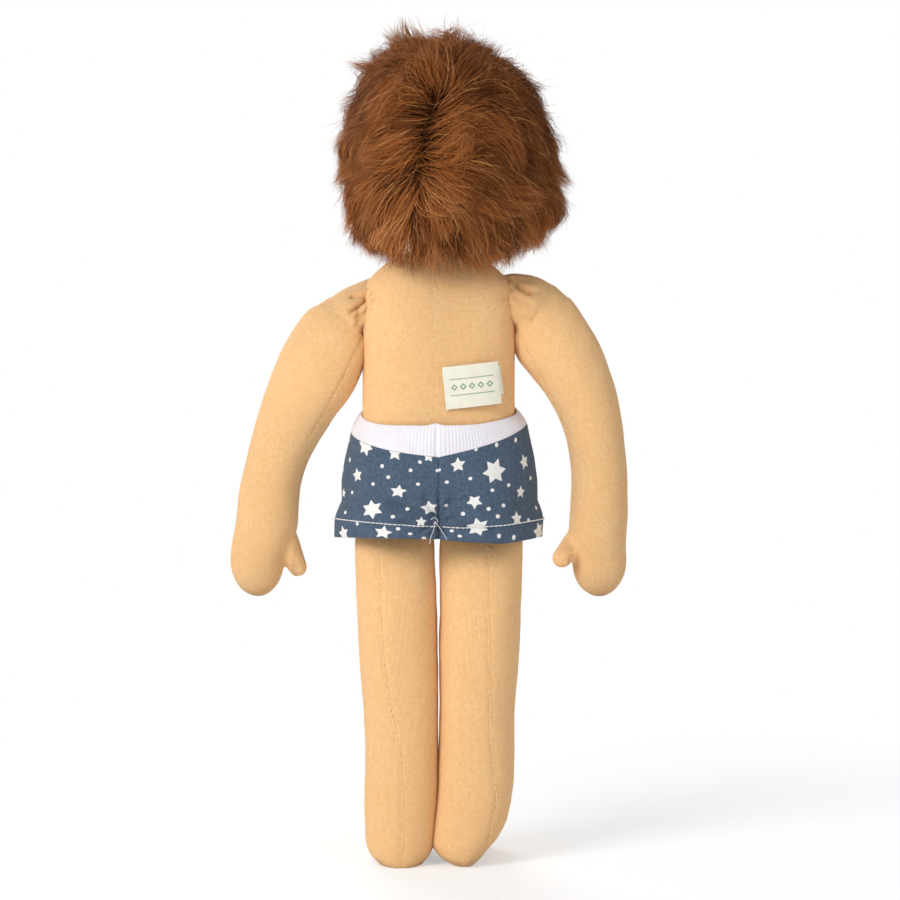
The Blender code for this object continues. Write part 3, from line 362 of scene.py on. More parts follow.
def knit_height(tree, wale=WALE_PITCH, course=COURSE_PITCH):
    """The V stitches of plain knitting, from the attributes that run around and along the piece."""
    across = calc(tree, "FRACT", calc(tree, "DIVIDE", attribute(tree, "around"), wale))
    fold = calc(tree, "ABSOLUTE", calc(tree, "MULTIPLY_ADD", across, 2.0, -1.0))
    along = calc(tree, "DIVIDE", attribute(tree, "along"), course)
    slant = calc(tree, "MULTIPLY_ADD", fold, 0.5, along)
    loops = calc(tree, "COSINE", calc(tree, "MULTIPLY", slant, 2 * math.pi))
    loops = calc(tree, "MULTIPLY_ADD", loops, 0.15, 0.8)
    edge = calc(tree, "ABSOLUTE", calc(tree, "MULTIPLY_ADD", fold, 2.0, -1.0))
    hump = calc(tree, "SUBTRACT", 1.0, calc(tree, "POWER", edge, 2.5))
    return calc(tree, "MULTIPLY", hump, loops)


def jersey_look(blush=False):
    """Peach jersey knit, with painted shade between its stitches and pink cheeks where the blush attribute is set."""
    made, tree = new_look("peach_jersey" + ("_face" if blush else ""), 0.88, 0.12, 0.2)
    stitches = knit_height(tree)
    fine = noise(tree, 1.6, 3.0)
    colour = shade(tree, noise(tree, 22.0, 3.0), 0.3, 0.7, rgb(254, 208, 150), rgb(255, 214, 158))
    colour = shade(tree, fine, 0.3, 0.7, colour, rgb(247, 196, 136))
    # Painted shade: the colour darkens where the knit's stitch height is low, in the hollows between its loops.
    colour = shade(tree, stitches, 0.0, 0.7, mix(tree, 0.85, colour, rgb(236, 176, 116)), colour)
    if blush:
        colour = mix(tree, calc(tree, "MULTIPLY", attribute(tree, "blush"), 0.5), colour, rgb(236, 138, 108))
    return finished(made, colour, calc(tree, "MULTIPLY_ADD", fine, 0.35, stitches), 0.24)


def thread_look(name, colour, dark, twist_mm=0.8):
    """A twisted thread: slanting bands of shade and a fuzzy surface."""
    made, tree = new_look(name, 0.7, 0.15, 0.3)
    place = put(tree, "ShaderNodeTexCoord").outputs["Object"]
    inputs = {"Vector": place, "Scale": 0.32 / (twist_mm * MM), "Distortion": 1.5}
    band = put(tree, "ShaderNodeTexWave", inputs, bands_direction="DIAGONAL").outputs["Fac"]
    height = calc(tree, "MULTIPLY_ADD", noise(tree, 0.3, 2.0), 0.4, band)
    return finished(made, mix(tree, band, dark, colour), height, 0.12, 0.8)


def wool_look(name, light, dark, lump_mm):
    """Carded fibre: tangled fine streaks in soft lumps."""
    made, tree = new_look(name, 0.95, 0.3, 0.1)
    streaks = noise(tree, 0.9, 5.0, (1.0, 1.0, 0.25))
    both = calc(tree, "MULTIPLY_ADD", streaks, 0.6, noise(tree, lump_mm, 4.0))
    return finished(made, shade(tree, both, 0.5, 1.1, dark, light), both, 0.5, 0.8)


def print_look():
    """Blue-grey heathered knit with a white print where the print attribute is below zero."""
    made, tree = new_look("star_print_jersey", 0.9, 0.1, 0.2)
    stitches = knit_height(tree, 0.7, 0.6)
    heather = noise(tree, 0.8, 3.0, (1.0, 1.0, 0.6))
    blue = shade(tree, heather, 0.35, 0.68, rgb(66, 83, 101), rgb(88, 105, 125))
    blue = shade(tree, noise(tree, 14.0, 2.0), 0.3, 0.7, blue, mix(tree, 0.3, blue, rgb(62, 78, 98)))
    ink = shade(tree, heather, 0.3, 0.75, rgb(228, 226, 222), rgb(244, 242, 238))
    colour = shade(tree, attribute(tree, "print"), 0.07, -0.07, blue, ink)
    return finished(made, colour, calc(tree, "MULTIPLY_ADD", heather, 0.5, stitches), 0.13, 0.7)


def rib_look():
    """White rib knit, with painted shade in the valleys between its ribs."""
    made, tree = new_look("white_rib_knit", 0.9, 0.1, 0.2)
    stitches = knit_height(tree, 0.8, 0.7)
    white = shade(tree, noise(tree, 6.0), 0.3, 0.7, rgb(230, 227, 233), rgb(238, 236, 240))
    # Painted shade: the valley attribute greys the white where the ribs dip.
    colour = mix(tree, calc(tree, "MULTIPLY", attribute(tree, "valley"), 0.4), white, rgb(206, 201, 210))
    return finished(made, colour, stitches, 0.12, 0.6)


def label_look():
    """A woven cream ribbon, green where the border attribute is set."""
    made, tree = new_look("woven_label", 0.6, 0.1, 0.35)
    warp = calc(tree, "SINE", calc(tree, "MULTIPLY", attribute(tree, "around"), 2 * math.pi / 0.36))
    weft = calc(tree, "SINE", calc(tree, "MULTIPLY", attribute(tree, "along"), 2 * math.pi / 0.30))
    weave = calc(tree, "MULTIPLY", warp, weft)
    tone = calc(tree, "MULTIPLY_ADD", weave, 0.25, noise(tree, 4.0))
    cream = shade(tree, tone, 0.2, 0.8, rgb(228, 224, 204), rgb(238, 235, 219))
    green = calc(tree, "MULTIPLY", attribute(tree, "border"), spread(tree, weave, -0.9, 0.2))
    return finished(made, mix(tree, green, cream, rgb(58, 128, 84)), weave, 0.06, 0.5)


def fur_look():
    """Fur strands: dark at the root, with a tone of their own mixed with painted light and shade by where they grow,
    and paler at the tip.
    """
    made, tree = new_look("brown_fur", 0.55, 0.0, 0.12)
    tone, reach = attribute(tree, "tone"), attribute(tree, "reach")
    body = shade(tree, tone, 0.05, 0.75, rgb(58, 24, 10), rgb(196, 120, 60))
    body = shade(tree, tone, 0.75, 1.0, body, rgb(226, 166, 108))
    rooted = shade(tree, reach, 0.0, 0.35, rgb(48, 21, 7), body)
    return finished(made, shade(tree, reach, 0.7, 1.0, rooted, mix(tree, 0.35, body, rgb(206, 138, 92))))


def backing_look():
    made, tree = new_look("fur_backing", 0.95, 0.0, 0.05)
    pile = noise(tree, 0.8, 4.0, (1.0, 1.0, 0.4))
    # Partly painted shade: the knitted ground is real, but its near-black brown stands for the shade in the gaps
    # between the locks.
    return finished(made, mix(tree, pile, rgb(30, 15, 6), rgb(66, 34, 14)), pile, 0.8)


# Meshes

def link(name, data):
    made = bpy.data.objects.new(name, data)
    bpy.context.scene.collection.objects.link(made)
    return made


def make(name, points, groups, look):
    """A mesh object from points in millimetres and groups of faces, each group of one corner count."""
    mesh = bpy.data.meshes.new(name)
    mesh.vertices.add(len(points))
    mesh.vertices.foreach_set("co", (np.asarray(points, float) * MM).astype(np.float32).ravel())
    groups = [np.asarray(group, np.int32) for group in groups]
    totals = np.concatenate([np.full(len(group), group.shape[1]) for group in groups])
    corners = np.concatenate([group.ravel() for group in groups])
    mesh.loops.add(len(corners))
    mesh.loops.foreach_set("vertex_index", corners)
    mesh.polygons.add(len(totals))
    mesh.polygons.foreach_set("loop_start", np.concatenate(([0], np.cumsum(totals)[:-1])).astype(np.int32))
    mesh.update(calc_edges=True)
    mesh.validate()
    mesh.shade_smooth()
    mesh.materials.append(look)
    return link(name, mesh)


def outward(obj):
    """Turns the normals of a closed piece outward."""
    tool = bmesh.new()
    tool.from_mesh(obj.data)
    bmesh.ops.recalc_face_normals(tool, faces=tool.faces)
    tool.to_mesh(obj.data)
    tool.free()
    return obj


def read_rows(items, kind):
    """Three numbers for each item of a mesh."""
    flat = np.empty(len(items) * 3, np.float32)
    items.foreach_get(kind, flat)
    return flat.reshape(-1, 3).astype(float)


def points_of(obj):
    return read_rows(obj.data.vertices, "co") / MM


def normals_of(obj):
    return read_rows(obj.data.vertex_normals, "vector")


def set_points(obj, points):
    obj.data.vertices.foreach_set("co", (points * MM).astype(np.float32).ravel())
    obj.data.update()


def store(obj, name, values):
    """Keeps one number for each point, which the looks read by this name."""
    made = obj.data.attributes.get(name) or obj.data.attributes.new(name, "FLOAT", "POINT")
    made.data.foreach_set("value", np.asarray(values, np.float32))


def store_courses(obj, around, along):
    store(obj, "around", around)
    store(obj, "along", along)


def dress(obj, body=None, node=None):
    """Hides the node that a piece stands for and hangs the piece on the body it rides on."""
    if node:
        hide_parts(node)
    if body:
        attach(obj, body)
    return obj


def grid(rows, columns, closed=True, looped=False):
    """Four-cornered faces of a grid of points, closed round each row, or looped from the last row to the first."""
    row = np.arange(rows if looped else rows - 1)[:, None]
    i, l = row * columns, (row + 1) % rows * columns
    j = np.arange(columns if closed else columns - 1)[None, :]
    k = (j + 1) % columns
    return np.stack([i + j, i + k, l + k, l + j], -1).reshape(-1, 4)


def fan(start, columns, tip):
    """Three-cornered faces from one closed row to a tip."""
    j = np.arange(columns)
    return np.stack([start + j, start + (j + 1) % columns, np.full(columns, tip)], -1)


def capped(points, rows, sides, start, end):
    """Rings of points with their faces, closed at both ends by these two places."""
    count = rows * sides
    caps = np.concatenate((fan(0, sides, count), fan(count - sides, sides, count + 1)))
    return np.concatenate((points, [start, end])), [grid(rows, sides), caps]


def leaf(near, far, rows, columns):
    """A thin sheet with its faces, from the points of its two sides, closed all round the edge."""
    index = np.arange(rows * columns).reshape(rows, columns)
    face = grid(rows, columns, closed=False)
    shift = rows * columns
    rim = [np.stack([line[:-1], line[1:], line[1:] + shift, line[:-1] + shift], -1)
           for line in (index[0], index[-1, ::-1], index[::-1, 0], index[:, -1])]
    return np.concatenate((near, far)), [np.concatenate((face, face[:, ::-1] + shift, *rim))]


# Curves and forms

def between(low, high, share):
    return low + (high - low) * share


def unit(values):
    return values / np.linalg.norm(values, axis=-1, keepdims=True)


def bell(values, width):
    """One in the middle, falling off smoothly over this width."""
    return np.exp(-((values / width) ** 2))


def soft_step(values, low, high):
    t = np.clip((values - low) / (high - low), 0.0, 1.0)
    return t * t * (3 - 2 * t)


def run_along(line, least=0.0):
    """How far along a line each of its points is, with this much added to every step."""
    return np.concatenate(([0.0], np.cumsum(np.linalg.norm(np.diff(line, axis=0), axis=1) + least)))


def curve(run, rows, want):
    """Smooth values, at the wanted places, of rows that lie at these places of a run."""
    slope = np.gradient(rows, run, axis=0)
    low = np.clip(np.searchsorted(run, want, side="right") - 1, 0, len(run) - 2)
    width = (run[low + 1] - run[low])[:, None]
    t = ((want - run[low])[:, None]) / width
    return (
        rows[low] * (1 + 2 * t) * (1 - t) ** 2
        + slope[low] * width * t * (1 - t) ** 2
        + rows[low + 1] * t * t * (3 - 2 * t)
        + slope[low + 1] * width * t * t * (t - 1)
    )


def smooth_rows(rows, count):
    """Rows of numbers joined by a smooth curve and spread evenly along it."""
    rows = np.array(rows, float)
    run = run_along(rows, 1e-6)
    return curve(run, rows, np.linspace(0.0, run[-1], count))


def rounded(angles, half_across, half_back, half_front, power):
    """Distances across and out of a rounded cross-section at these angles."""
    c, s = np.cos(angles), np.sin(angles)
    across = np.sign(c) * np.abs(c) ** (2 / power) * half_across
    depth = np.where(s > 0, half_back, half_front)
    return across, np.sign(s) * np.abs(s) ** (2 / power) * depth


def rounding(share, power):
    """How wide a rounded end still is at this share of its reach."""
    return max(1 - share**power, 0.0) ** (1 / power)


def tube(rows, sides, power, out=BACK_Y):
    """A closed tube. Each row has its centre, its tilt in degrees about Y and its three half sizes."""
    angles = np.linspace(0, 2 * math.pi, sides, endpoint=False)
    rings = []
    for row in rows:
        tilt = math.radians(row[3])
        across = np.array((math.cos(tilt), 0.0, math.sin(tilt)))
        along, depth = rounded(angles, row[4], row[5], row[6], power)
        rings.append(row[:3] + along[:, None] * across + depth[:, None] * out)
    return capped(np.concatenate(rings), len(rows), sides, rows[0][:3], rows[-1][:3])


def joined(parts):
    """Points and faces of several parts in one list."""
    points, groups, start = [], [], 0
    for part_points, part_groups in parts:
        points.append(part_points)
        groups += [np.asarray(group) + start for group in part_groups]
        start += len(part_points)
    return np.concatenate(points), groups


def fused(name, parts, voxel, rounds, look):
    """Closed parts fused into one even skin, with the steps between them smoothed."""
    rough = outward(make(name + "_rough", *joined(parts), look))
    step = rough.modifiers.new("fuse", "REMESH")
    step.mode = "VOXEL"
    step.voxel_size = voxel * MM
    soften = rough.modifiers.new("soften", "SMOOTH")
    soften.factor = 0.5
    soften.iterations = rounds
    mesh = bpy.data.meshes.new_from_object(rough.evaluated_get(bpy.context.evaluated_depsgraph_get()))
    bpy.data.objects.remove(rough, do_unlink=True)
    mesh.name = name
    mesh.shade_smooth()
    mesh.materials.clear()
    mesh.materials.append(look)
    return link(name, mesh)


LUMP_WAVES = 9


def ripple(points, size, seed):
    """Smooth lumps of about this size, from about -1 to 1."""
    draw = np.random.default_rng(seed)
    ways = draw.normal(size=(LUMP_WAVES, 3))
    ways *= (2 * math.pi / size * draw.uniform(0.6, 1.3, LUMP_WAVES) / np.linalg.norm(ways, axis=1))[:, None]
    phases = draw.uniform(0, 2 * math.pi, LUMP_WAVES)
    return np.sin(points @ ways.T + phases).sum(axis=1) / (LUMP_WAVES / 2)


PX = 0.4535
PHOTO_MIDDLE = 439
PHOTO_FLOOR = 868


def seen(px, py):
    """A place of the photograph on the doll's middle plane: across and height in millimetres."""
    return (PHOTO_MIDDLE - px) * PX + NECK[0], (PHOTO_FLOOR - py) * PX


def from_line(points, start, end):
    """Distance of points from a line between two places, both with as many axes as the points."""
    start, end = np.asarray(start, float), np.asarray(end, float)
    way = end - start
    t = np.clip(((points - start) @ way) / (way @ way), 0.0, 1.0)
    return np.linalg.norm(points - start - t[:, None] * way, axis=1)


def creases(x, z, rows):
    """How deep at these places valleys are that run along picture lines: start, end, depth and width."""
    flat = np.stack([np.ravel(x), np.ravel(z)], -1)
    total = np.zeros(len(flat))
    for start, end, depth, width in rows:
        total += depth * bell(from_line(flat, seen(*start), seen(*end)), width)
    return total.reshape(np.shape(x))


def behind(normals, low=0.1, high=0.5):
    """One where the surface faces back, zero where it faces sideways or to the front."""
    return soft_step(normals[:, 1], low, high)


# Stuffed limbs

LIMB_SIDES = 64
LIMB_KNIT_RADIUS = 16.0
FILLING_SIDES = 40
SMOOTHING_LOSS = 1.1
WOOL_INSET = 2.7
WOOL_LEAST_SHARE = 0.3
WOOL_ROOT_CLEAR = 15.0
WOOL_LOWEST = 1.0
# How far along a round end each of its rings lies, and the same for the flatter heel
END_SHARES = (0.2, 0.38, 0.55, 0.7, 0.82, 0.91, 0.97, 0.995)
HEEL_END_SHARES = (0.2, 0.4, 0.56, 0.7, 0.8, 0.88, 0.94, 0.975, 0.99)


def limb_courses(obj, middles, side, plain_from, plain_below, sole=False):
    """Stores how far each point is around and along a limb, for the knit.

    On a foot or thumb, farther than this from the limb's middle and below this height, the knit runs straight.
    """
    points = points_of(obj)
    middles = np.asarray(middles)
    near = ((points[:, None, :] - middles[None, :, :]) ** 2).sum(axis=2).argmin(axis=1)
    way = unit(np.gradient(middles, axis=0))[near]
    arm = points - middles[near]
    ahead = (arm * way).sum(axis=1)
    along = run_along(middles)[near] + ahead
    turn = np.arctan2(arm[:, 1], (arm * (-side * np.cross(BACK_Y, way))).sum(axis=1))
    reach = np.linalg.norm(arm - ahead[:, None] * way, axis=1)
    plain = soft_step(reach, plain_from, plain_from + 4.0) * (points[:, 2] < plain_below)
    if sole:
        plain = np.maximum(plain, soft_step(-normals_of(obj)[:, 2], 0.55, 0.92))
    outer = side * arm[:, 0]
    straight = np.where(arm[:, 1] > 0, LIMB_KNIT_RADIUS * math.pi - outer, outer)
    around = (turn + math.pi / 2) * LIMB_KNIT_RADIUS
    store_courses(obj, between(around, straight, plain), between(along, points[:, 1] - points[:, 2], plain))


def build_filling(name, node, forms, body, look, shape=None):
    """The wool inside a stuffed piece: the same forms, drawn in from the skin, with a lumpy surface."""
    parts = []
    for rows, power, out in forms:
        inner = [np.array((*row[:4], *(max(half - WOOL_INSET, half * WOOL_LEAST_SHARE) for half in row[4:])))
                 for row in rows]
        parts.append(tube(inner[2:-2], FILLING_SIDES, power, out))
    made = outward(make(name, *joined(parts), look))
    points = points_of(made)
    push = 0.25 * ripple(points, 8.0, 91) - 0.25
    points = points + push[:, None] * normals_of(made)
    points = shape(points) if shape else points
    points[:, 2] = np.maximum(points[:, 2], WOOL_LOWEST)
    set_points(made, points)
    dress(made, body, node)


# Legs

# Each leg's back seam as seen in the photograph: picture places down the leg
LEG_SEAMS = {
    "left": ((379, 545), (380, 600), (384, 660), (391, 707), (400, 750), (404, 814), (402, 868)),
    "right": ((488, 545), (488, 600), (489, 650), (490, 693), (491, 734), (497, 800), (489, 843), (482, 862)),
}
SEAM_DEPTH = 0.55
SEAM_HALF_WIDTH = 1.1
SEAM_PUCKER_PITCH = 3.4
ANKLE_CREASE = ((-16.0, 29.0), (-10.0, 28.0))
ANKLE_CREASE_DEPTH = 1.1
ANKLE_CREASE_WIDTH = 2.4

# How full the inner side of each leg is at the ankle, calf, thigh and top
FULLNESS_HEIGHTS = (20.0, 60.0, 115.0, 140.0)
INNER_FULLNESS = {"left": (0.8, 0.8, 1.0, 0.3), "right": (1.5, 1.4, 1.4, 2.0)}
# How much each foot narrows on either side, from the sole to the ankle, how far its heel stands in
# towards the other one, and how far the heel hangs lower
FOOT_HEIGHTS = (0.0, 3.0, 6.0, 9.0, 12.0, 16.0, 20.0, 28.0, 38.0)
OUTER_SHARES = {
    "left": (0.12, 0.09, 0.06, 0.05, 0.04, 0.03, 0.02, 0.0, 0.0),
    "right": (0.42, 0.40, 0.37, 0.30, 0.22, 0.14, 0.08, 0.03, 0.0),
}
INNER_SHARES = {
    "left": (0.16, 0.16, 0.16, 0.14, 0.12, 0.10, 0.08, 0.03, 0.0),
    "right": (0.18, 0.15, 0.12, 0.06, 0.02, 0.0, 0.0, 0.0, 0.0),
}
HEEL_SHIFT_SHARES = (1.0, 1.0, 0.97, 0.84, 0.66, 0.46, 0.30, 0.12, 0.0)
HEEL_SHIFTS = {"left": 0.0, "right": 5.0}
HEEL_SINKS = {"left": 2.1, "right": 0.2}


def leg_middle(hip, side, place, drift=1.0):
    return hip - side * LEG_TOE_IN * drift * SIDE_X - LEG_LENGTH * place * UP_Z


def leg_rows(hip, side):
    """Rows of the leg, from its flat sewn mouth to the heel's round underside."""
    half_width, half_depth = LEG_WIDTH / 2, LEG_DEPTH / 2
    rows = [(*(hip - LEG_TOP_DROP * UP_Z), 0.0, half_width * LEG_MOUTH_WIDTH_SHARE, LEG_MOUTH_HALF,
             LEG_MOUTH_HALF)]
    for place, drift, width, depth in LEG_SHARES:
        deep = half_depth * depth
        rows.append((*leg_middle(hip, side, place, drift), 0.0, half_width * width, deep, deep))
    rows = list(smooth_rows(rows, 60))
    for share in HEEL_END_SHARES:
        middle = leg_middle(hip, side, 1 - HEEL_ROUNDING * (1 - share) / LEG_LENGTH)
        wide = half_width * width * rounding(share, HEEL_SIDE_POWER)
        deep = half_depth * depth * rounding(share, HEEL_BACK_POWER)
        rows.append(np.array((*middle, 0.0, wide, deep, deep)))
    return rows


def foot_rows(floor, heel):
    """Rows of the foot, from inside the heel forward to the round toes."""
    rows = []
    for place, width, height in FOOT_SHARES:
        half = FOOT_HEIGHT * height / 2
        middle = floor + (heel - FOOT_LENGTH * place) * BACK_Y + half * UP_Z
        rows.append((*middle, 0.0, FOOT_WIDTH / 2 * width, half, half))
    rows = list(smooth_rows(rows, 26))
    for share in END_SHARES:
        size = rounding(share, ROUND)
        forward = FOOT_LENGTH * (place + (1 - place) * share)
        rise = half * (size + (1 - size) * TOE_LIFT_SHARE)
        middle = floor + (heel - forward) * BACK_Y + rise * UP_Z
        rows.append(np.array((*middle, 0.0, FOOT_WIDTH / 2 * width * size, half * size, half * size)))
    return rows


def build_leg(label, side, look, wool):
    hip = joint_place(f"{label}_hip")
    floor = leg_middle(hip, side, 1.0)
    legs = leg_rows(hip, side)
    feet = foot_rows(floor, LEG_DEPTH / 2 * LEG_SHARES[-1][3])
    forms = ((legs, ROUND, BACK_Y), (feet, FOOT_POWER, UP_Z))
    build_filling(f"{label}_leg_filling", f"{label}_leg_wool", forms, f"{label}_leg", wool,
                  lambda points: narrow_foot(points, label, side, floor))
    parts = [tube(rows, LIMB_SIDES, power, out) for rows, power, out in forms]
    made = fused(f"{label}_leg_jersey", parts, 0.9, 10, look)
    middles = [hip - LEG_TOP_DROP * UP_Z] + [leg_middle(hip, side, row[0],
                                                        row[1]) for row in LEG_SHARES] + [floor]
    limb_courses(made, smooth_rows(middles, 90), side, 20.0, 45.0, sole=True)
    shape_leg(made, label, side, floor)
    return dress(made, f"{label}_leg", f"{label}_leg_skin")


def seam_x(label, height):
    """Where a leg's back seam runs at this height."""
    places = np.array([seen(*place) for place in LEG_SEAMS[label]])[::-1]
    return np.interp(height, places[:, 1], places[:, 0])


def narrow_foot(points, label, side, floor):
    """Draws the sides of the foot in towards the sole, and sets its heel as it stands."""
    moved = points.copy()
    off = side * (points[:, 0] - floor[0])
    outer = np.interp(points[:, 2], FOOT_HEIGHTS, OUTER_SHARES[label])
    inner = np.interp(points[:, 2], FOOT_HEIGHTS, INNER_SHARES[label])
    shift = HEEL_SHIFTS[label] * np.interp(points[:, 2], FOOT_HEIGHTS, HEEL_SHIFT_SHARES)
    behind_toes = soft_step(points[:, 1] - floor[1], -34.0, -14.0)
    heel = soft_step(points[:, 1] - floor[1], -12.0, 4.0)
    moved[:, 0] -= side * (np.maximum(off, 0.0) * outer + np.minimum(off, 0.0) * inner + shift * behind_toes)
    moved[:, 2] -= HEEL_SINKS[label] * heel * soft_step(-points[:, 2], -24.0, -8.0)
    return moved


def shape_leg(obj, label, side, floor):
    """Soft lumps of stuffing, the back seam's valley and the crease over the ankle."""
    points, normals = points_of(obj), normals_of(obj)
    push = 0.35 * ripple(points, 42.0, 11 + side) + 0.10 * ripple(points, 11.0, 21 + side)
    narrowed = narrow_foot(points, label, side, floor)
    gap = np.abs(narrowed[:, 0] - seam_x(label, narrowed[:, 2]))
    pucker = 0.75 + 0.25 * np.sin(points[:, 2] * 2 * math.pi / SEAM_PUCKER_PITCH)
    push -= SEAM_DEPTH * bell(gap, SEAM_HALF_WIDTH) * behind(normals) * pucker
    ankle = from_line(points[:, (1, 2)], *(np.array(place) + (floor[1], 0.0) for place in ANKLE_CREASE))
    push -= ANKLE_CREASE_DEPTH * bell(ankle, ANKLE_CREASE_WIDTH) * soft_step(-normals[:, 1], -0.1, 0.4)
    inner = soft_step(-side * normals[:, 0], 0.1, 0.95)
    push += inner * np.interp(points[:, 2], FULLNESS_HEIGHTS, INNER_FULLNESS[label])
    points = narrow_foot(points + push[:, None] * normals, label, side, floor)
    points[:, 2] = np.maximum(points[:, 2] * soft_step(points[:, 2], 0.0, 1.5), 0.0)
    set_points(obj, points)


# Arms

# The gathered end of an arm runs on into the torso's side: how far in, and how much wider than its root
ROOT_ROWS = ((9.0, -5.4), (5.6, -3.2), (2.8, -1.5), (0.6, -0.6))
THUMB_SIDES = 28
# Creases at the gathered shoulders, as picture places: start, end, depth and width
ARM_CREASES = {
    "left": (
        ((343, 290), (356, 293), 0.8, 1.2),
        ((354, 293), (369, 298), 2.3, 1.0),
        ((353, 310), (369, 301), 2.7, 1.15),
        ((360, 306), (360, 316), 1.4, 1.4),
        ((358, 324), (368, 312), 0.9, 1.3),
        ((348, 303), (362, 303), -0.7, 1.6),
    ),
    "right": (
        ((515, 290), (528, 293), 2.5, 1.05),
        ((528, 293), (536, 291), 1.1, 1.2),
        ((516, 301), (531, 305), 1.3, 1.2),
        ((515, 313), (527, 322), 0.9, 1.3),
        ((516, 296), (526, 299), -0.6, 1.4),
    ),
}
# Each arm's seam down its back, as picture places
ARM_SEAMS = {
    "left": ((367, 328), (345, 376), (310, 438)),
    "right": ((516, 330), (540, 376), (566, 430)),
}
ARM_SEAM_DEPTH = 0.45
ARM_SEAM_WIDTH = 0.8
# How far each upper arm leans in, and between which heights
ARM_LEANS = {"left": (4.2, 214.0, 257.0), "right": (4.2, 228.0, 257.0)}
# Each arm's top line out from the torso, as picture places
ARM_TOPS = {
    "left": ((379, 276), (373, 275), (365, 278.5), (355, 284), (342, 290), (329, 296), (318, 304)),
    "right": (
        (496, 276), (503, 272), (511, 271.5), (519, 272.5), (529, 274.5), (541, 278.5), (555, 284.5), (567, 296),
    ),
}
TOP_BIN = 1.5
SHOULDER_BLEND = 11.0


def arm_middle(label, side, outward_share, drop_share):
    shoulder = joint_place(f"{label}_arm_swing")
    x = ARM_START + ARM_SPREADS[label] * outward_share
    return shoulder + side * x * SIDE_X - ARM_LENGTH * drop_share * UP_Z


def build_arm(label, side, look, wool):
    rows = []
    for inset, swell in ROOT_ROWS:
        middle = arm_middle(label, side, 0.0, 0.0) - side * inset * SIDE_X
        rows.append((*middle, side * 90.0, *(ARM_ROOT_RADIUS + swell,) * 3))
    for outward_share, drop, tilt, width, depth in ARM_SHARES[label]:
        deep = ARM_DEPTH / 2 * depth
        middle = arm_middle(label, side, outward_share, drop)
        rows.append((*middle, side * tilt, ARM_WIDTH / 2 * width, deep, deep))
    last = np.array(rows[-1])
    rows = list(smooth_rows(rows, 80))
    middles = [row[:3] for row in rows] + [last[:3] - HAND_REACH * UP_Z]
    for share in END_SHARES:
        middle = last[:3] - HAND_REACH * share * UP_Z
        rows.append(np.array((*middle, last[3], *last[4:] * rounding(share, ROUND))))
    clear = [row for row in rows if side * (row[0] - rows[0][0]) > WOOL_ROOT_CLEAR]
    build_filling(f"{label}_arm_filling", f"{label}_arm_wool", ((clear, ROUND, BACK_Y),), f"{label}_arm",
                  wool)
    parts = (tube(rows, LIMB_SIDES, ROUND), thumb_part(label, side))
    made = fused(f"{label}_arm_jersey", parts, 0.8, 13, look)
    limb_courses(made, middles, side, 15.5, 152.0)
    shape_arm(made, label, side)
    dress(made, None, f"{label}_arm_skin")
    root = joint_place(f"{label}_arm_swing") + side * ARM_START * SIDE_X
    end = root + side * SHOULDER_BLEND * SIDE_X
    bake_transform(made, f"{label}_shoulder", f"{label}_arm", tuple(root * MM), tuple(end * MM))
    return made


def thumb_part(label, side):
    """The thumb as a closed part, from inside the hand to its round tip."""
    start = arm_middle(label, side, *THUMB_START_SHARES[label])
    way = unit(np.array(THUMB_WAYS[label])) * (side, 1.0, 1.0)
    across = unit(np.cross(way, BACK_Y))
    out = np.cross(way, across)
    angles = np.linspace(0, 2 * math.pi, THUMB_SIDES, endpoint=False)[:, None]
    base, tip = THUMB_BASE_RADIUS + SMOOTHING_LOSS, THUMB_TIP_RADIUS + SMOOTHING_LOSS
    spans = [(THUMB_LENGTH * share, between(base, tip, share)) for share in (0.0, 0.25, 0.5, 0.75, 1.0)]
    spans += [(THUMB_LENGTH + tip * share, tip * rounding(share, ROUND)) for share in (0.3, 0.55, 0.75, 0.9,
                                                                                       0.98)]
    rings = [start + way * run + radius * (np.cos(angles) * across + np.sin(angles) * out) for run,
             radius in spans]
    return capped(np.concatenate(rings), len(rings), THUMB_SIDES, start, start + way * (THUMB_LENGTH + tip))


def lean_on_torso(points, normals, label, side):
    """Presses the inner side of the upper arm towards the torso, where it hangs against it."""
    x, z = points[:, 0] - HIP_LINE[0], points[:, 2]
    inner = soft_step(-side * normals[:, 0], -0.35, 0.75)
    amount, low, high = ARM_LEANS[label]
    middle, half = (low + high) / 2, (high - low) / 2
    moved = points.copy()
    moved[:, 0] -= side * amount * inner * np.exp(-(((z - middle) / half) ** 2)) * (side * x > 25.0)
    return moved


def follow_top(points, label, side):
    """Moves the upper side of the arm's root so that its outline runs on from the torso's dome."""
    line = np.array([seen(*place) for place in ARM_TOPS[label]])
    line = line[np.argsort(line[:, 0])]
    bins = np.arange(line[0, 0] - TOP_BIN, line[-1, 0] + 2 * TOP_BIN, TOP_BIN)
    tops = [points[np.abs(points[:, 0] - x) < TOP_BIN,
                   2].max(initial=joint_place(f"{label}_arm_swing")[2] + 4.0)
            for x in bins]
    tops = np.convolve(np.pad(tops, 1, mode="edge"), (0.25, 0.5, 0.25), mode="valid")
    centre = joint_place(f"{label}_arm_swing")[2] - 6.0
    x, z = points[:, 0], points[:, 2]
    top = np.interp(x, bins, tops)
    share = np.clip((z - centre) / (top - centre), 0.0, 1.0) ** 1.3
    far = side * (x - (line[-1, 0] if side > 0 else line[0, 0]))
    change = np.interp(x, line[:, 0], line[:, 1]) - top
    moved = points.copy()
    moved[:, 2] += change * share * soft_step(far, 6.0, -3.0)
    return moved


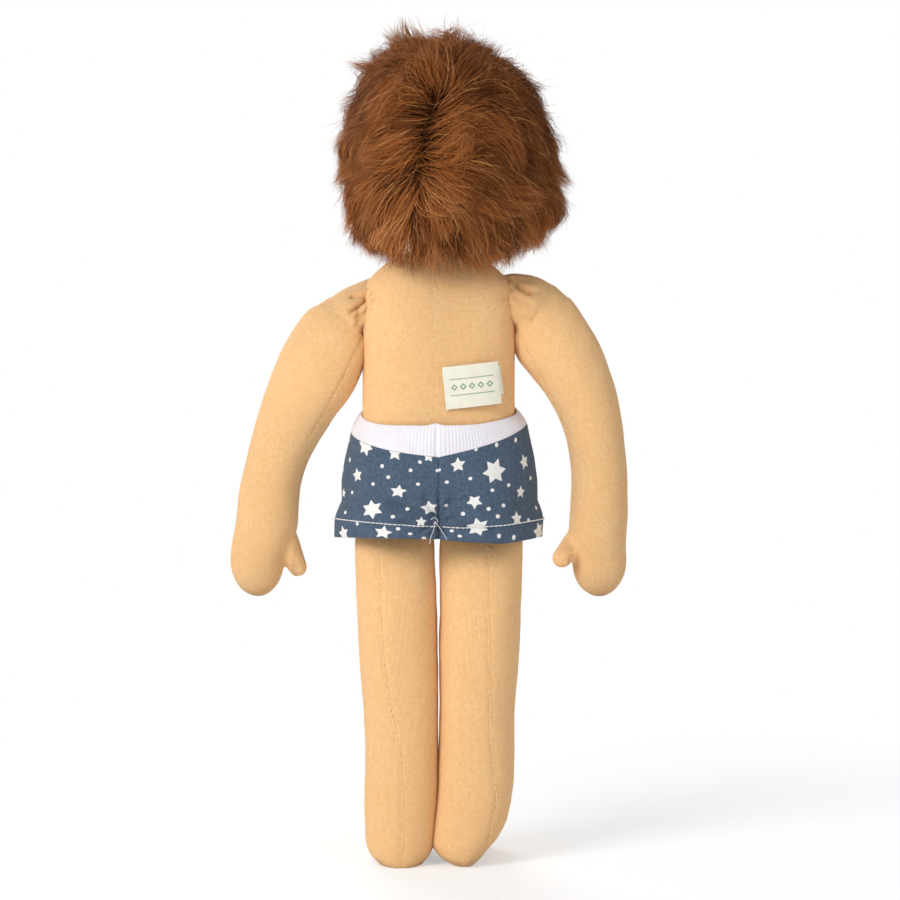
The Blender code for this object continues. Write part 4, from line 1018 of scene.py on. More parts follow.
def shape_arm(obj, label, side):
    """Pleats that fan out from the gathered root, the arm's seam and the lumps of its stuffing."""
    points, normals = points_of(obj), normals_of(obj)
    push = 0.3 * ripple(points, 34.0, 31 + side) + 0.10 * ripple(points, 9.0, 41 + side)
    spoke = points - joint_place(f"{label}_arm_swing") - side * ARM_START * SIDE_X
    angle = np.arctan2(spoke[:, 2], spoke[:, 1])
    pleat = np.cos(9 * angle + 1.3 * np.sin(2 * angle + side)) + 0.5 * np.cos(16 * angle + 0.7)
    push += 0.26 * pleat * soft_step(side * spoke[:, 0], 10.0, 0.0)
    points = lean_on_torso(points, normals, label, side)
    line = ARM_SEAMS[label]
    seams = tuple((start, end, ARM_SEAM_DEPTH, ARM_SEAM_WIDTH) for start, end in zip(line, line[1:]))
    push -= creases(points[:, 0], points[:, 2], ARM_CREASES[label] + seams) * behind(normals, 0.05, 0.45)
    set_points(obj, follow_top(points + push[:, None] * normals, label, side))


# Torso

TORSO_SIDES = 160
TORSO_ROWS = 130
TORSO_KNIT_RADIUS = 30.0
SEAM_X = 1.2
SEAM_SWAY = 0.5
SEAM_SWAY_LENGTH = 19.0
BACK_STITCH_PITCH = 2.9
TORSO_CREASES = (
    ((375, 276), (371, 292), 0.7, 1.5),
    ((371, 298), (381, 296), 0.8, 1.4),
    ((371, 310), (384, 312), 0.5, 1.4),
    ((514, 300), (505, 297), 0.7, 1.5),
    ((513, 318), (503, 322), 0.4, 1.5),
    ((379, 270), (392, 266), 0.4, 1.8),
    ((510, 276), (500, 272), 0.4, 1.8),
)


def torso_rows():
    low = HIP_LINE + TORSO_BOTTOM_RISE * UP_Z
    rows = [(*low, 0.0, TORSO_WIDTH / 2 * TORSO_SEAM_WIDTH_SHARE, TORSO_SEAM_HALF, TORSO_SEAM_HALF)]
    for height, width, depth in TORSO_SHARES:
        half_depth = TORSO_DEPTH / 2 * depth
        rows.append((*(low + TORSO_HEIGHT * height * UP_Z), 0.0, TORSO_WIDTH / 2 * width, half_depth,
                     half_depth))
    rows.append((*(low + TORSO_HEIGHT * UP_Z), 0.0, NECK_RIM_RADIUS, NECK_RIM_RADIUS, NECK_RIM_RADIUS))
    return rows


def torso_size(height):
    """Half width and half depth of the torso at a world height."""
    rows = np.array(torso_rows())
    return np.interp(height, rows[:, 2], rows[:, 4]), np.interp(height, rows[:, 2], rows[:, 5])


def torso_back(x, height):
    """The world place along Y of the torso's back at this offset from its middle and this height."""
    half_width, half_depth = torso_size(height)
    share = np.minimum(np.abs(x) / half_width, 1.0)
    return NECK[1] + half_depth * (1 - share**TORSO_POWER) ** (1 / TORSO_POWER)


def back_seam_x(height):
    """How far the back seam is from the torso's middle at this height."""
    return SEAM_X + SEAM_SWAY * np.sin(height / SEAM_SWAY_LENGTH)


def build_torso(look, wool):
    rows = smooth_rows(torso_rows(), TORSO_ROWS)
    build_filling("torso_filling", "torso_wool", ((rows, TORSO_POWER, BACK_Y),), "torso", wool)
    made = outward(make("torso_jersey", *tube(rows, TORSO_SIDES, TORSO_POWER), look))
    points, normals = points_of(made), normals_of(made)
    x, height = points[:, 0] - NECK[0], points[:, 2]
    store_courses(made, np.arctan2(points[:, 1] - NECK[1], x) * TORSO_KNIT_RADIUS, height)
    push = 0.35 * ripple(points, 45.0, 51) + 0.10 * ripple(points, 10.0, 52)
    seam = x - back_seam_x(height)
    waver = 0.45 + 0.2 * np.sin(height * 2 * math.pi / BACK_STITCH_PITCH)
    push += (0.3 * bell(np.abs(seam) - 2.4, 1.3) - waver * bell(seam, 1.0)) * behind(normals)
    push -= creases(points[:, 0], height, TORSO_CREASES) * behind(normals, 0.05, 0.45)
    rim = soft_step(height, HIP_LINE[2] + 1.0, HIP_LINE[2] + 9.0) * soft_step(height, NECK[2] - 1.5,
                                                                              NECK[2] - 7.0)
    set_points(made, points + (push * rim)[:, None] * normals)
    dress(made, "torso", "torso_skin")


# Head

HEAD_KNIT_RADIUS = 36.0
CHEEK_OFFSET = 19.0
CHEEK_DROP = 12.0
CHEEK_RADIUS = 8.5
LEAN_COS = math.cos(math.radians(HEAD_LEAN_DEGREES))
LEAN_SIN = math.sin(math.radians(HEAD_LEAN_DEGREES))


def to_world(points):
    """From the head's own space, with its neck at zero, to the world."""
    turn = np.array(((LEAN_COS, 0.0, -LEAN_SIN), (0.0, 1.0, 0.0), (LEAN_SIN, 0.0, LEAN_COS)))
    return np.array(points, float) @ turn + NECK


def head_rows():
    end = math.sqrt(NECK_RADIUS**2 - NECK_DEPTH**2)
    neck = ((-NECK_DEPTH, end), (0.0, NECK_RADIUS), (NECK_WAIST_RISE, NECK_RADIUS - NECK_WAIST_SINK))
    rows = [(0.0, 0.0, rise, 0.0, radius, radius, radius) for rise, radius in neck]
    for degrees, front in HEAD_SHARES:
        size = math.cos(math.radians(degrees)) / 2
        rise = HEAD_RISE + HEAD_HEIGHT / 2 * math.sin(math.radians(degrees))
        rows.append((0.0, 0.0, rise, 0.0, HEAD_WIDTH * size, HEAD_DEPTH * size, HEAD_DEPTH * front * size))
    return rows + [(0.0, 0.0, HEAD_RISE + HEAD_HEIGHT / 2 * 0.995, 0.0, 4.2, 4.0, 4.0)]


def head_front(x, rise):
    """How far forward the face is at this place of the head's own space."""
    rows = np.array(head_rows())
    half_width = np.interp(rise, rows[:, 2], rows[:, 4])
    half_front = np.interp(rise, rows[:, 2], rows[:, 6])
    return half_front * (1 - min(abs(x) / half_width, 1.0) ** HEAD_POWER) ** (1 / HEAD_POWER)


def build_head(look):
    points, faces = tube(smooth_rows(head_rows(), 120), 128, HEAD_POWER)
    x, y, rise = points.T
    turn = np.arctan2(y, x)
    made = make("head_jersey", to_world(points), faces, look)
    store_courses(made, turn * HEAD_KNIT_RADIUS, rise)
    cheeks = [bell(np.hypot(x - side * CHEEK_OFFSET, rise - HEAD_RISE + CHEEK_DROP), CHEEK_RADIUS) for _,
              side in SIDES]
    store(made, "blush", sum(cheeks) * (y < 0))
    outward(made)
    folds = np.cos(14 * turn + np.sin(3 * turn)) * bell(rise - 4.0, 5.0) * (rise < HEAD_RISE)
    push = 0.22 * ripple(points, 40.0, 61) + 0.35 * folds
    push += 1.1 * soft_step(rise, 3.0, 6.0) * soft_step(rise, 16.0, 9.0)
    set_points(made, points_of(made) + (push * soft_step(rise, 0.0, 3.0))[:, None] * normals_of(made))
    dress(made, "head", "head_skin")


# Threads and stitches

LEG_STITCH_PITCH = 2.6
NEAR_POINTS = 6
SHOULDER_STITCHES = 22
# Where each end of a shoulder stitch lies: share of the pitch, how far outside the root, gap to the torso
SHOULDER_STITCH_ENDS = ((0.0, 0.2, 0.5), (0.4, 1.1, -0.1))
ANKLE_STITCHES = 9
ANKLE_STITCH_DEGREES = 11.0
ANKLE_HEIGHT = 29.0
EYE_STITCHES = 11
MOUTH_STITCHES = 6


def thread(path, radius, sides=6):
    """Points and faces of a round thread along a path, with its ends closed."""
    path = np.asarray(path, float)
    ways = unit(np.gradient(path, axis=0))
    across = np.cross(ways, BACK_Y)
    weak = np.linalg.norm(across, axis=1) < 0.2
    across[weak] = np.cross(ways[weak], UP_Z)
    across = unit(across)
    out = np.cross(ways, across)
    angles = np.linspace(0, 2 * math.pi, sides, endpoint=False)[:, None, None]
    rings = path + radius * (np.cos(angles) * across + np.sin(angles) * out)
    return capped(rings.transpose(1, 0, 2).reshape(-1, 3), len(path), sides, path[0], path[-1])


def stitch(start, end, out, radius, sag):
    """One stitch: a short thread that dips into the cloth at both ends."""
    shares = np.linspace(0.0, 1.0, 7)
    hump = np.sin(shares * math.pi) ** 0.7
    start, end, out = (np.asarray(v, float) for v in (start, end, out))
    return thread(between(start, end, shares[:, None]) + out * ((hump - sag) * radius * 2)[:, None], radius)


def stitched(name, parts, look, body=None, node=None):
    return dress(outward(make(name, *joined(parts), look)), body, node)


def on_back(points, x, z):
    """The place of a piece's surface seen at this place across and height, from its nearest points."""
    gap = np.abs(points[:, 0] - x) + np.abs(points[:, 2] - z)
    return np.array((x, points[np.argsort(gap)[:NEAR_POINTS], 1].mean(), z))


def build_back_seam(look):
    """The ladder stitches of the back seam: short bars across the valley, each a little aslant."""
    low = HIP_LINE[2] + 30.0
    half = np.array((0.7, 0.0, 0.3))
    parts = []
    for i in range(int((NECK[2] - 14.0 - low) / BACK_STITCH_PITCH)):
        height = low + BACK_STITCH_PITCH * i
        x = back_seam_x(height)
        place = np.array((NECK[0] + x, torso_back(x, height), height))
        parts.append(stitch(place - half, place + half, BACK_Y, 0.2, 0.2))
    stitched("back_ladder_stitches", parts, look, "torso", "back_seam_thread")


def torso_side(y, height):
    """How far the torso's side is from its middle at this place."""
    half_width, half_depth = torso_size(height)
    share = min(abs(y) / half_depth, 1.0)
    return half_width * (1 - share**TORSO_POWER) ** (1 / TORSO_POWER)


def build_shoulder_stitches(label, side, look):
    """Slanting stitches round an arm's root that sew it to the torso's side."""
    root = joint_place(f"{label}_arm_swing")
    parts = []
    for i in range(SHOULDER_STITCHES):
        ends = []
        for step, outside, gap in SHOULDER_STITCH_ENDS:
            angle = 2 * math.pi * (i + step) / SHOULDER_STITCHES
            y, z = (ARM_ROOT_RADIUS + outside) * np.array((math.cos(angle), math.sin(angle)))
            x = HIP_LINE[0] + side * (torso_side(y, root[2] + z) + gap)
            ends.append(np.array((x, root[1] + y, root[2] + z)))
        out = unit(np.array((side * 0.6, *(ends[0] - root)[1:])))
        parts.append(stitch(*ends, out, 0.15, 0.5))
    stitched(f"{label}_shoulder_stitches", parts, look, f"{label}_shoulder",
             f"{label}_shoulder_thread")


def build_leg_seam(label, leg, look):
    """The small stitches that show along the back seam of a leg."""
    points = points_of(leg)
    points = points[points[:, 1] > joint_place(f"{label}_hip")[1] + 4.0]
    half = np.array((0.12, 0.0, 0.75))
    parts = []
    for height in np.arange(8.0, 150.0, LEG_STITCH_PITCH):
        place = on_back(points, seam_x(label, height), height)
        parts.append(stitch(place - half, place + half, BACK_Y, 0.22, 0.05))
    stitched(f"{label}_leg_seam_stitches", parts, look, f"{label}_leg")


def build_arm_seam(label, arm, look):
    """The small stitches that show along the inner seam of an arm, below its root."""
    points = points_of(arm)
    points = points[points[:, 1] > joint_place(f"{label}_arm_swing")[1]]
    line = smooth_rows([seen(*place) for place in ARM_SEAMS[label]], 60)
    parts = [stitch(on_back(points, *first), on_back(points, *last), BACK_Y, 0.2, 0.1)
             for first, last in zip(line[8::2], line[9::2])]
    stitched(f"{label}_arm_seam_stitches", parts, look, f"{label}_arm")


def build_ankle_stitches(label, side, leg, look):
    """The stitches across the front of the ankle that turn the foot forward."""
    middle = leg_middle(joint_place(f"{label}_hip"), side, 1.0) * (1.0, 1.0, 0.0)
    points = points_of(leg) - middle
    level = np.abs(points[:, 2] - ANKLE_HEIGHT) < 1.0
    parts = []
    for i in range(ANKLE_STITCHES):
        angle = math.radians(ANKLE_STITCH_DEGREES * (i - (ANKLE_STITCHES - 1) / 2))
        out = np.array((math.sin(angle), -math.cos(angle), 0.0))
        across = np.array((out[1], -out[0], 0.0))
        ahead = level & (points @ out > 8.0) & (np.abs(points @ across) < 1.2)
        if ahead.any():
            place = middle + ANKLE_HEIGHT * UP_Z + out * ((points[ahead] @ out).max() + 0.15)
            half = 1.1 * UP_Z + 0.7 * across
            parts.append(stitch(place - half, place + half, out, 0.28, 0.4))
    stitched(f"{label}_ankle_stitches", parts, look, f"{label}_leg", f"{label}_ankle_stitch")


def on_face(x, rise, gap):
    """A place of the face in the world, this far in front of the skin."""
    return to_world((x, -head_front(x, rise) - gap, rise))


def build_face(eye_look, mouth_look):
    """Two small satin-stitched eyes and a short back-stitched smile."""
    rise = HEAD_RISE - EYE_DROP
    for label, side in SIDES:
        parts = []
        for offset in EYE_RADIUS * np.linspace(-0.9, 0.9, EYE_STITCHES):
            half = math.sqrt(EYE_RADIUS**2 - offset**2) * 1.05
            x = side * EYE_SPACING / 2 + offset
            parts.append(stitch(on_face(x, rise - half, 0.15), on_face(x, rise + half, 0.15), -BACK_Y, 0.24,
                                0.1))
        stitched(f"{label}_eye_satin", parts, eye_look, "head", f"{label}_eye")
    rise = HEAD_RISE - MOUTH_DROP
    ends = [on_face(MOUTH_WIDTH / 2 * share, rise + MOUTH_SAG * share**2, 0.2)
            for share in np.linspace(-1, 1, MOUTH_STITCHES + 1)]
    parts = [stitch(start, end, -BACK_Y, 0.36, 0.2) for start, end in zip(ends, ends[1:])]
    stitched("mouth_stitches", parts, mouth_look, "head", "mouth")


# Shorts

SHORTS_COLUMNS = 380
SHORTS_ROWS = 150
LINING_ROWS = 24
CLOTH_WALL = 0.8
HEM_WALL = 1.25
# How far the shorts' top edge rises beside the back seam, on the doll's left, its right and in front
WAIST_RISES = (4.4, 5.6, 3.0)
WAIST_POINT_HALF = 36.0
# How far the stitched line and the hem's edge dip along the back, at places across the hips
HEM_PLACES = (-47.0, -30.0, -12.0, 5.0, 18.0, 47.0)
STITCH_DIPS = (-0.3, -2.2, -3.4, -2.6, -1.8, 0.0)
EDGE_DIPS = (0.0, -2.0, -0.6, 0.6, 0.7, 0.0)
# Folds drawn to the gathered crotch, as picture places: start, end, depth and width
SHORTS_FOLDS = (
    ((390, 502), (432, 512), 1.6, 1.7),
    ((402, 520), (432, 515), 1.4, 1.5),
    ((440, 515), (492, 526), 2.0, 1.8),
    ((438, 508), (474, 495), 1.3, 2.2),
    ((437, 520), (456, 533), 1.2, 1.4),
    ((418, 533), (432, 518), 1.1, 1.4),
    ((426, 494), (434, 509), 1.2, 1.6),
)
# How much the worn hem rides up all round, and how much more at the back
HEM_RISE = 1.4
HEM_BACK_RISE = 2.4

GATHER_DROP = 5.0
# How much flatter the sides hang than the round of the hips, at these heights
SIDE_FLATS = ((-16.0, 1.2), (-7.0, 1.3), (2.0, 2.6), (12.0, 0.6), (22.0, 0.0))
BLEND_TOP = 22.0
BLEND_LOW = -17.0
HEM_STITCH_LENGTH = 1.7
HEM_STITCH_PITCH = 2.15
HEM_THREAD_RADIUS = 0.26

# Picture places and radii of the stars on the back, with the number of points and the turn in degrees.
BACK_STARS = (
    (494, 471, 11.0, 6, 0), (458, 465, 7.2, 5, 90), (524, 462, 6.0, 5, 80), (520, 492, 5.8, 5, 100),
    (474, 501, 6.9, 5, 60), (516, 518, 6.4, 5, 95), (477, 527, 9.2, 6, 20), (539, 532, 9.2, 6, 10),
    (358, 475, 6.4, 5, 70), (399, 491, 7.3, 5, 95), (373, 509, 10.0, 6, 15), (430, 507, 7.3, 5, 80),
    (421, 521, 4.6, 5, 90), (344, 533, 6.9, 5, 75), (384, 532, 7.6, 5, 100), (366, 446, 8.4, 6, 5),
    (396, 453, 7.3, 5, 85), (429, 453, 5.4, 5, 90), (344, 493, 4.6, 5, 90), (532, 444, 5.4, 5, 90),
)
BACK_DOTS = (
    (475, 447), (496, 445), (515, 440), (438, 470), (447, 482), (470, 478), (463, 513), (492, 490),
    (503, 505), (508, 485), (497, 516), (530, 478), (536, 508), (528, 520), (452, 530), (460, 535),
    (498, 535), (513, 537), (383, 466), (374, 484), (411, 470), (418, 484), (389, 477), (408, 508),
    (394, 516), (353, 492), (358, 523), (346, 512), (411, 533), (399, 528), (424, 537), (350, 460),
    (381, 441), (412, 447), (420, 462), (446, 505), (488, 508),
)
STAR_SIZE_SHARE = 1.22
# Inner radius of a star by its number of points
NOTCH_SHARES = {5: 0.50, 6: 0.56}
BACK_DOT_RADIUS = 0.95
FRONT_DOT_RADIUS = 0.9
FRONT_RADII = (4.6, 4.3, 3.3, 3.2, 3.1, 2.9, 2.7, 2.6) * 3 + (FRONT_DOT_RADIUS,) * 70
# The stretch of cloth round the hips and the heights that the front's print fills, and its least gap
FRONT_ARC = (56.0, 124.0)
FRONT_HEIGHTS = (-14.0, 34.0)
PRINT_GAP = 1.6
FAR_OFF = 400.0


def waist_rise(x, y):
    """The rise of the shorts' top edge, which runs down to a point at the back seam."""
    left, right, front = WAIST_RISES
    share = np.minimum(np.abs(x) / WAIST_POINT_HALF, 1.0) ** 0.9
    return between(front, share * np.where(x > 0, left, right), soft_step(y, -8.0, 8.0))


def cloth_points(angles, rise, half_width, half_depth, part, fold_depth=0.0, point_share=0.0):
    """A line of cloth round the hips at these angles, in the space of the hip line.

    The waist's tilt lifts it by this part: the back sits low and the doll's right side high.
    """
    flute = fold_depth * np.cos(2 * FOLDS_PER_LEG * angles)
    x, y = rounded(angles, half_width + flute, half_depth + flute, half_depth + flute, SHORTS_POWER)
    tilt = -WAIST_BACK_DIP * y / (SHORTS_WAIST_DEPTH / 2) - WAIST_SIDE_LIFT * x / (SHORTS_WAIST_WIDTH / 2)
    return np.stack([x, y, rise + part * tilt + point_share * waist_rise(x, y)], -1)


def shorts_surface(side):
    """The outer half of the shorts as a grid from waist to hem, draped."""
    angles = np.linspace(-math.pi / 2, math.pi / 2, SHORTS_COLUMNS)
    angles = angles if side > 0 else math.pi - angles
    places, sizes = np.array(SHORTS_SHARES).T
    shares = np.linspace(1.0, 0.0, SHORTS_ROWS)
    lines = []
    for share, part in zip(shares, curve(places, sizes[:, None], shares)[:, 0]):
        half_width = between(SHORTS_HEM_WIDTH, SHORTS_WAIST_WIDTH, part) / 2
        half_depth = between(SHORTS_HEM_DEPTH, SHORTS_WAIST_DEPTH, part) / 2
        rise = -HEM_DROP + SHORTS_LENGTH * share
        fold = FOLD_DEPTH * (1 - part)
        lines.append(cloth_points(angles, rise, half_width, half_depth, part, fold, share**2))
    return np.array(lines)


def drape(points):
    """Soft drag lines, the puckered seam, and each leg's cloth rolled in towards the crotch."""
    x, y, z = np.moveaxis(points, -1, 0)
    hem = soft_step(z, 4.0, -15.0)
    flat = points.reshape(-1, 3)
    wave = (0.8 * ripple(flat, 26.0, 71) + 0.35 * ripple(flat, 12.0, 72)).reshape(x.shape)
    push = wave * (0.25 + 0.75 * soft_step(z, 12.0, -14.0)) * 0.7
    push -= 0.5 * bell(x, 1.1) * (1 + 0.4 * np.sin(z * 2 * math.pi / 3.0))
    gather = np.hypot(x, z + GATHER_DROP)
    spokes = np.cos(9 * np.arctan2(z + GATHER_DROP, np.abs(x)) + 0.6)
    push += 0.7 * spokes * bell(gather - 8.0, 6.0) - 1.2 * bell(gather, 5.0)
    side_share = np.clip(np.abs(x) / (SHORTS_HEM_WIDTH / 2), 0.0, 1.0) ** 3
    push -= side_share * np.interp(z, *zip(*SIDE_FLATS))
    push -= creases(x + HIP_LINE[0], z + HIP_LINE[2], SHORTS_FOLDS) * (y > 0)
    across, deep = x / (SHORTS_HEM_WIDTH / 2) ** 2, y / (SHORTS_HEM_DEPTH / 2) ** 2
    out = unit(np.stack([across, deep, np.zeros_like(x)], -1))
    moved = points + push[..., None] * out
    raised = HEM_RISE + HEM_BACK_RISE * np.clip(y / (SHORTS_HEM_DEPTH / 2), 0.0, 1.0)
    moved[..., 2] += raised * soft_step(z, 20.0, -14.0)
    moved[..., 1] -= np.sign(y) * 4.0 * np.clip(1 - np.abs(x) / 5.0, 0.0, 1.0) ** 2 * hem
    back = soft_step(y, -4.0, 8.0)
    dips = np.interp(x, HEM_PLACES, STITCH_DIPS) * bell(z + 7.0, 7.0)
    dips += np.interp(x, HEM_PLACES, EDGE_DIPS) * soft_step(z, -11.0, -16.0)
    moved[..., 2] += between(0.7 * np.sin(x / 6.0 + 1.9) * hem, dips, back)
    return moved


def star_gap(flat, centre, radius, count, turn):
    """Signed distance to a star's edge, below zero inside it."""
    x, y = flat[:, 0] - centre[0], flat[:, 1] - centre[1]
    reach = np.hypot(x, y)
    sector = 2 * math.pi / count
    angle = np.abs((np.arctan2(y, x) - math.radians(turn) + sector / 2) % sector - sector / 2)
    inner = radius * NOTCH_SHARES[count]
    tip = np.array((radius, 0.0))
    notch = inner * np.array((math.cos(sector / 2), math.sin(sector / 2)))
    way = unit(notch - tip)
    gap = way[0] * reach * np.sin(angle) - way[1] * (reach * np.cos(angle) - radius)
    return -gap if way[1] * radius > 0 else gap


def dot_gap(flat, centre, radius):
    return np.hypot(flat[:, 0] - centre[0], flat[:, 1] - centre[1]) - radius


def print_gap(arc, height, back_places):
    """Signed distance to the print on cloth laid flat: arc is the run round the hips from the back seam."""
    flat = np.stack([arc, height], -1)
    gaps = [dot_gap(flat, place, BACK_DOT_RADIUS) for place in back_places[len(BACK_STARS):]]
    for (_, _, radius, count, turn), place in zip(BACK_STARS, back_places):
        gaps.append(star_gap(flat, place, radius * STAR_SIZE_SHARE * PX, count, turn))
    draw = np.random.default_rng(77)
    placed = []
    for radius in FRONT_RADII:
        for _ in range(60):
            place = np.array((draw.uniform(*FRONT_ARC) * draw.choice((-1, 1)), draw.uniform(*FRONT_HEIGHTS)))
            if all(np.hypot(*(place - other)) > radius + size + PRINT_GAP for other, size in placed):
                break
        else:
            continue
        placed.append((place, radius))
        if radius == FRONT_DOT_RADIUS:
            gaps.append(dot_gap(flat, place, radius))
        else:
            gaps.append(star_gap(flat, place, radius, 6 if radius > 4 else 5, draw.uniform(0, 72)))
    return np.minimum(np.min(gaps, axis=0), 9.0)


def print_places(outer, arc):
    """Where the back's stars and dots lie on the cloth laid flat, far off where this half has none."""
    drop = outer[..., 1] * math.tan(math.radians(VIEW_ELEVATION_DEGREES))
    places = []
    for px, py, *_ in BACK_STARS + BACK_DOTS:
        x, z = seen(px, py)
        gap = np.hypot(outer[..., 0] + HIP_LINE[0] - x, outer[..., 2] + HIP_LINE[2] - drop - z)
        gap += np.where(outer[..., 1] > 0, 0, 99.0)
        row, column = np.unravel_index(gap.argmin(), gap.shape)
        height = SHORTS_LENGTH * (1 - row / (SHORTS_ROWS - 1)) - HEM_DROP
        places.append((arc[column] if gap.min() < 3.0 else FAR_OFF, height))
    return places


def build_shorts(label, side, outer, look):
    """Half of the shorts: cloth with a folded hem, its inner leg wall, and the printed stars."""
    rows, columns = outer.shape[:2]
    run = run_along(shorts_surface(side)[rows // 2])
    arc = side * (run[-1] - run)
    picked = np.linspace(0, rows - 1, LINING_ROWS).round().astype(int)
    hemmed = np.linspace(1, 0, LINING_ROWS) < HEM_STITCH_RISE / SHORTS_LENGTH
    wall = np.where(hemmed, HEM_WALL, CLOTH_WALL)[:, None, None]
    inner = outer[picked] - unit(outer[picked] * (1.0, 1.0, 0.0)) * wall
    fold = (outer[-1] + inner[-1]) / 2 - 0.45 * UP_Z
    lip = (outer[0] + inner[0]) / 2 + 0.2 * UP_Z
    sheet = np.concatenate((outer, fold[None], inner[::-1], lip[None]))
    count = len(sheet)
    first = np.arange(count) * columns
    ends = np.array((first, (first + columns - 1)[::-1]))
    body = (sheet.reshape(-1, 3) + HIP_LINE, [grid(count, columns, closed=False, looped=True), ends])
    made = outward(make(f"{label}_shorts", *joined((body, inner_leg(side))), look))
    heights = points_of(made)[:, 2] - HIP_LINE[2]
    arcs = np.zeros(len(heights))
    arcs[: count * columns] = np.tile(arc, count)
    lining_rises = np.linspace(0, SHORTS_LENGTH, LINING_ROWS)
    rises = (np.linspace(SHORTS_LENGTH, 0, rows), [0.0], lining_rises, [SHORTS_LENGTH])
    heights[: count * columns] = np.repeat(np.concatenate(rises), columns) - HEM_DROP
    store(made, "print", print_gap(arcs, heights, print_places(outer, arc)))
    store_courses(made, arcs, heights)
    dress(made, node=f"{label}_shorts_panel")
    follow_thigh(made, label)
    return made


def inner_leg(side):
    """The strip of cloth inside the leg, from the front seam under the crotch to the back seam."""
    lengths, shares = np.meshgrid(np.linspace(-1.0, 1.0, 60), np.linspace(0.0, 1.0, 12))
    arch = 1 - lengths**2
    low = -HEM_DROP + 0.3 + HEM_RISE + 0.6 + HEM_BACK_RISE * np.clip(lengths, 0.0, 1.0)
    rise = between(-CROTCH_DROP + 3.5 * arch, low, shares)
    near = np.stack([side * (1.0 + 1.6 * shares * arch), (SHORTS_HEM_DEPTH / 2 - 3.6) * lengths, rise], -1)
    near = near.reshape(-1, 3) + HIP_LINE
    return leaf(near, near + side * CLOTH_WALL * SIDE_X, *lengths.shape)


def follow_thigh(obj, label):
    """The cloth stays on the waist above and follows the thigh below, but holds still at the middle seam."""
    top = HIP_LINE + BLEND_TOP * UP_Z
    low = HIP_LINE + BLEND_LOW * UP_Z
    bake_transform(obj, "torso", f"{label}_leg", tuple(top * MM), tuple(low * MM))
    held = obj.data.attributes["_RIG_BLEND"]
    values = np.empty(len(obj.data.vertices), np.float32)
    held.data.foreach_get("value", values)
    x = np.abs(points_of(obj)[:, 0] - HIP_LINE[0])
    held.data.foreach_set("value", (values * soft_step(x, 1.0, 11.0)).astype(np.float32))


def build_hem_stitches(label, outer, look):
    """The white line of topstitches above a leg's hem."""
    line = outer[round((1 - HEM_STITCH_RISE / SHORTS_LENGTH) * (SHORTS_ROWS - 1))] + HIP_LINE
    run = run_along(line)
    parts = []
    start = 1.2
    while start + HEM_STITCH_LENGTH < run[-1] - 1.0:
        ends = [np.array([np.interp(place, run, axis) for axis in line.T])
                for place in (start, start + HEM_STITCH_LENGTH)]
        out = unit((sum(ends) / 2 - HIP_LINE) * (1.0, 1.0, 0.0))
        parts.append(stitch(*ends, out, HEM_THREAD_RADIUS, 0.15))
        start += HEM_STITCH_PITCH
    made = stitched(f"{label}_hem_topstitch", parts, look, node=f"{label}_hem_stitch")
    follow_thigh(made, label)
    return made


RIB_COUNT = 168
RIB_DEPTH = 0.2
BAND_ROWS = 26
BAND_KNIT_RADIUS = 33.0


def build_waistband(look):
    """The ribbed band, a little thicker where its two ends are joined at the back."""
    columns = RIB_COUNT * 8
    angles = np.linspace(0, 2 * math.pi, columns, endpoint=False)
    top_width = TORSO_WIDTH / 2 + FIT_GAP + WAISTBAND_WALL
    top_depth = TORSO_DEPTH / 2 + FIT_GAP + WAISTBAND_WALL
    ribs = (0.5 + 0.5 * np.cos(RIB_COUNT * angles)) ** 0.7
    lines = []
    for share in np.linspace(0.0, 1.0, BAND_ROWS):
        half_width = between(SHORTS_WAIST_WIDTH / 2, top_width, share)
        half_depth = between(SHORTS_WAIST_DEPTH / 2, top_depth, share)
        rise = -HEM_DROP + SHORTS_LENGTH + FIT_GAP + WAISTBAND_HEIGHT * share
        part = between(1.0, BAND_TOP_TILT_SHARE, share)
        line = cloth_points(angles, rise, half_width, half_depth, part, 0.0, 1 - share)
        push = 0.55 * math.sin(math.pi * min(max(share, 0.02), 0.98)) ** 0.6 - 0.25
        push += RIB_DEPTH * (ribs - 1.0) * math.sin(math.pi * min(max(share, 0.05), 0.95)) ** 0.3
        push -= 0.45 * bell(angles - math.pi / 2 + 0.02, 0.016)
        lift = 0.9 * bell(angles - math.pi / 2 + 0.03, 0.05) * soft_step(share, 0.75, 1.0)
        lift += 0.25 * np.sin(5 * angles + 1.0) * share
        lines.append(line + push[:, None] * unit(line * (1.0, 1.0, 0.0)) + lift[:, None] * UP_Z)
    outer = np.array(lines)
    inner = outer - WAISTBAND_WALL * 0.8 * unit(outer * (1.0, 1.0, 0.0))
    lip = (outer[-1] + inner[-1]) / 2 + 0.35 * UP_Z
    foot = (outer[0] + inner[0]) / 2 - 0.15 * UP_Z
    sheet = np.concatenate((outer, lip[None], inner[::-1], foot[None]))
    count = len(sheet)
    points = sheet.reshape(-1, 3)
    made = outward(make("ribbed_waistband", points + HIP_LINE, [grid(count, columns, looped=True)], look))
    # How far down in a rib valley each point lies, which the look paints with shade.
    valley = np.zeros((count, columns))
    valley[:BAND_ROWS] = 1.0 - ribs
    store(made, "valley", valley.ravel())
    store_courses(made, np.tile(angles * BAND_KNIT_RADIUS, count), points[:, 2])
    dress(made, "torso", "waistband")


# The knot at the crotch and its two loose thread ends, as picture places
CROTCH_THREADS = (
    ((435, 515), (439, 520), (443, 526), (447, 533)),
    ((435, 515), (434, 523), (431, 531), (430, 537)),
    ((431, 513), (435, 511), (438, 515), (434, 518)),
)


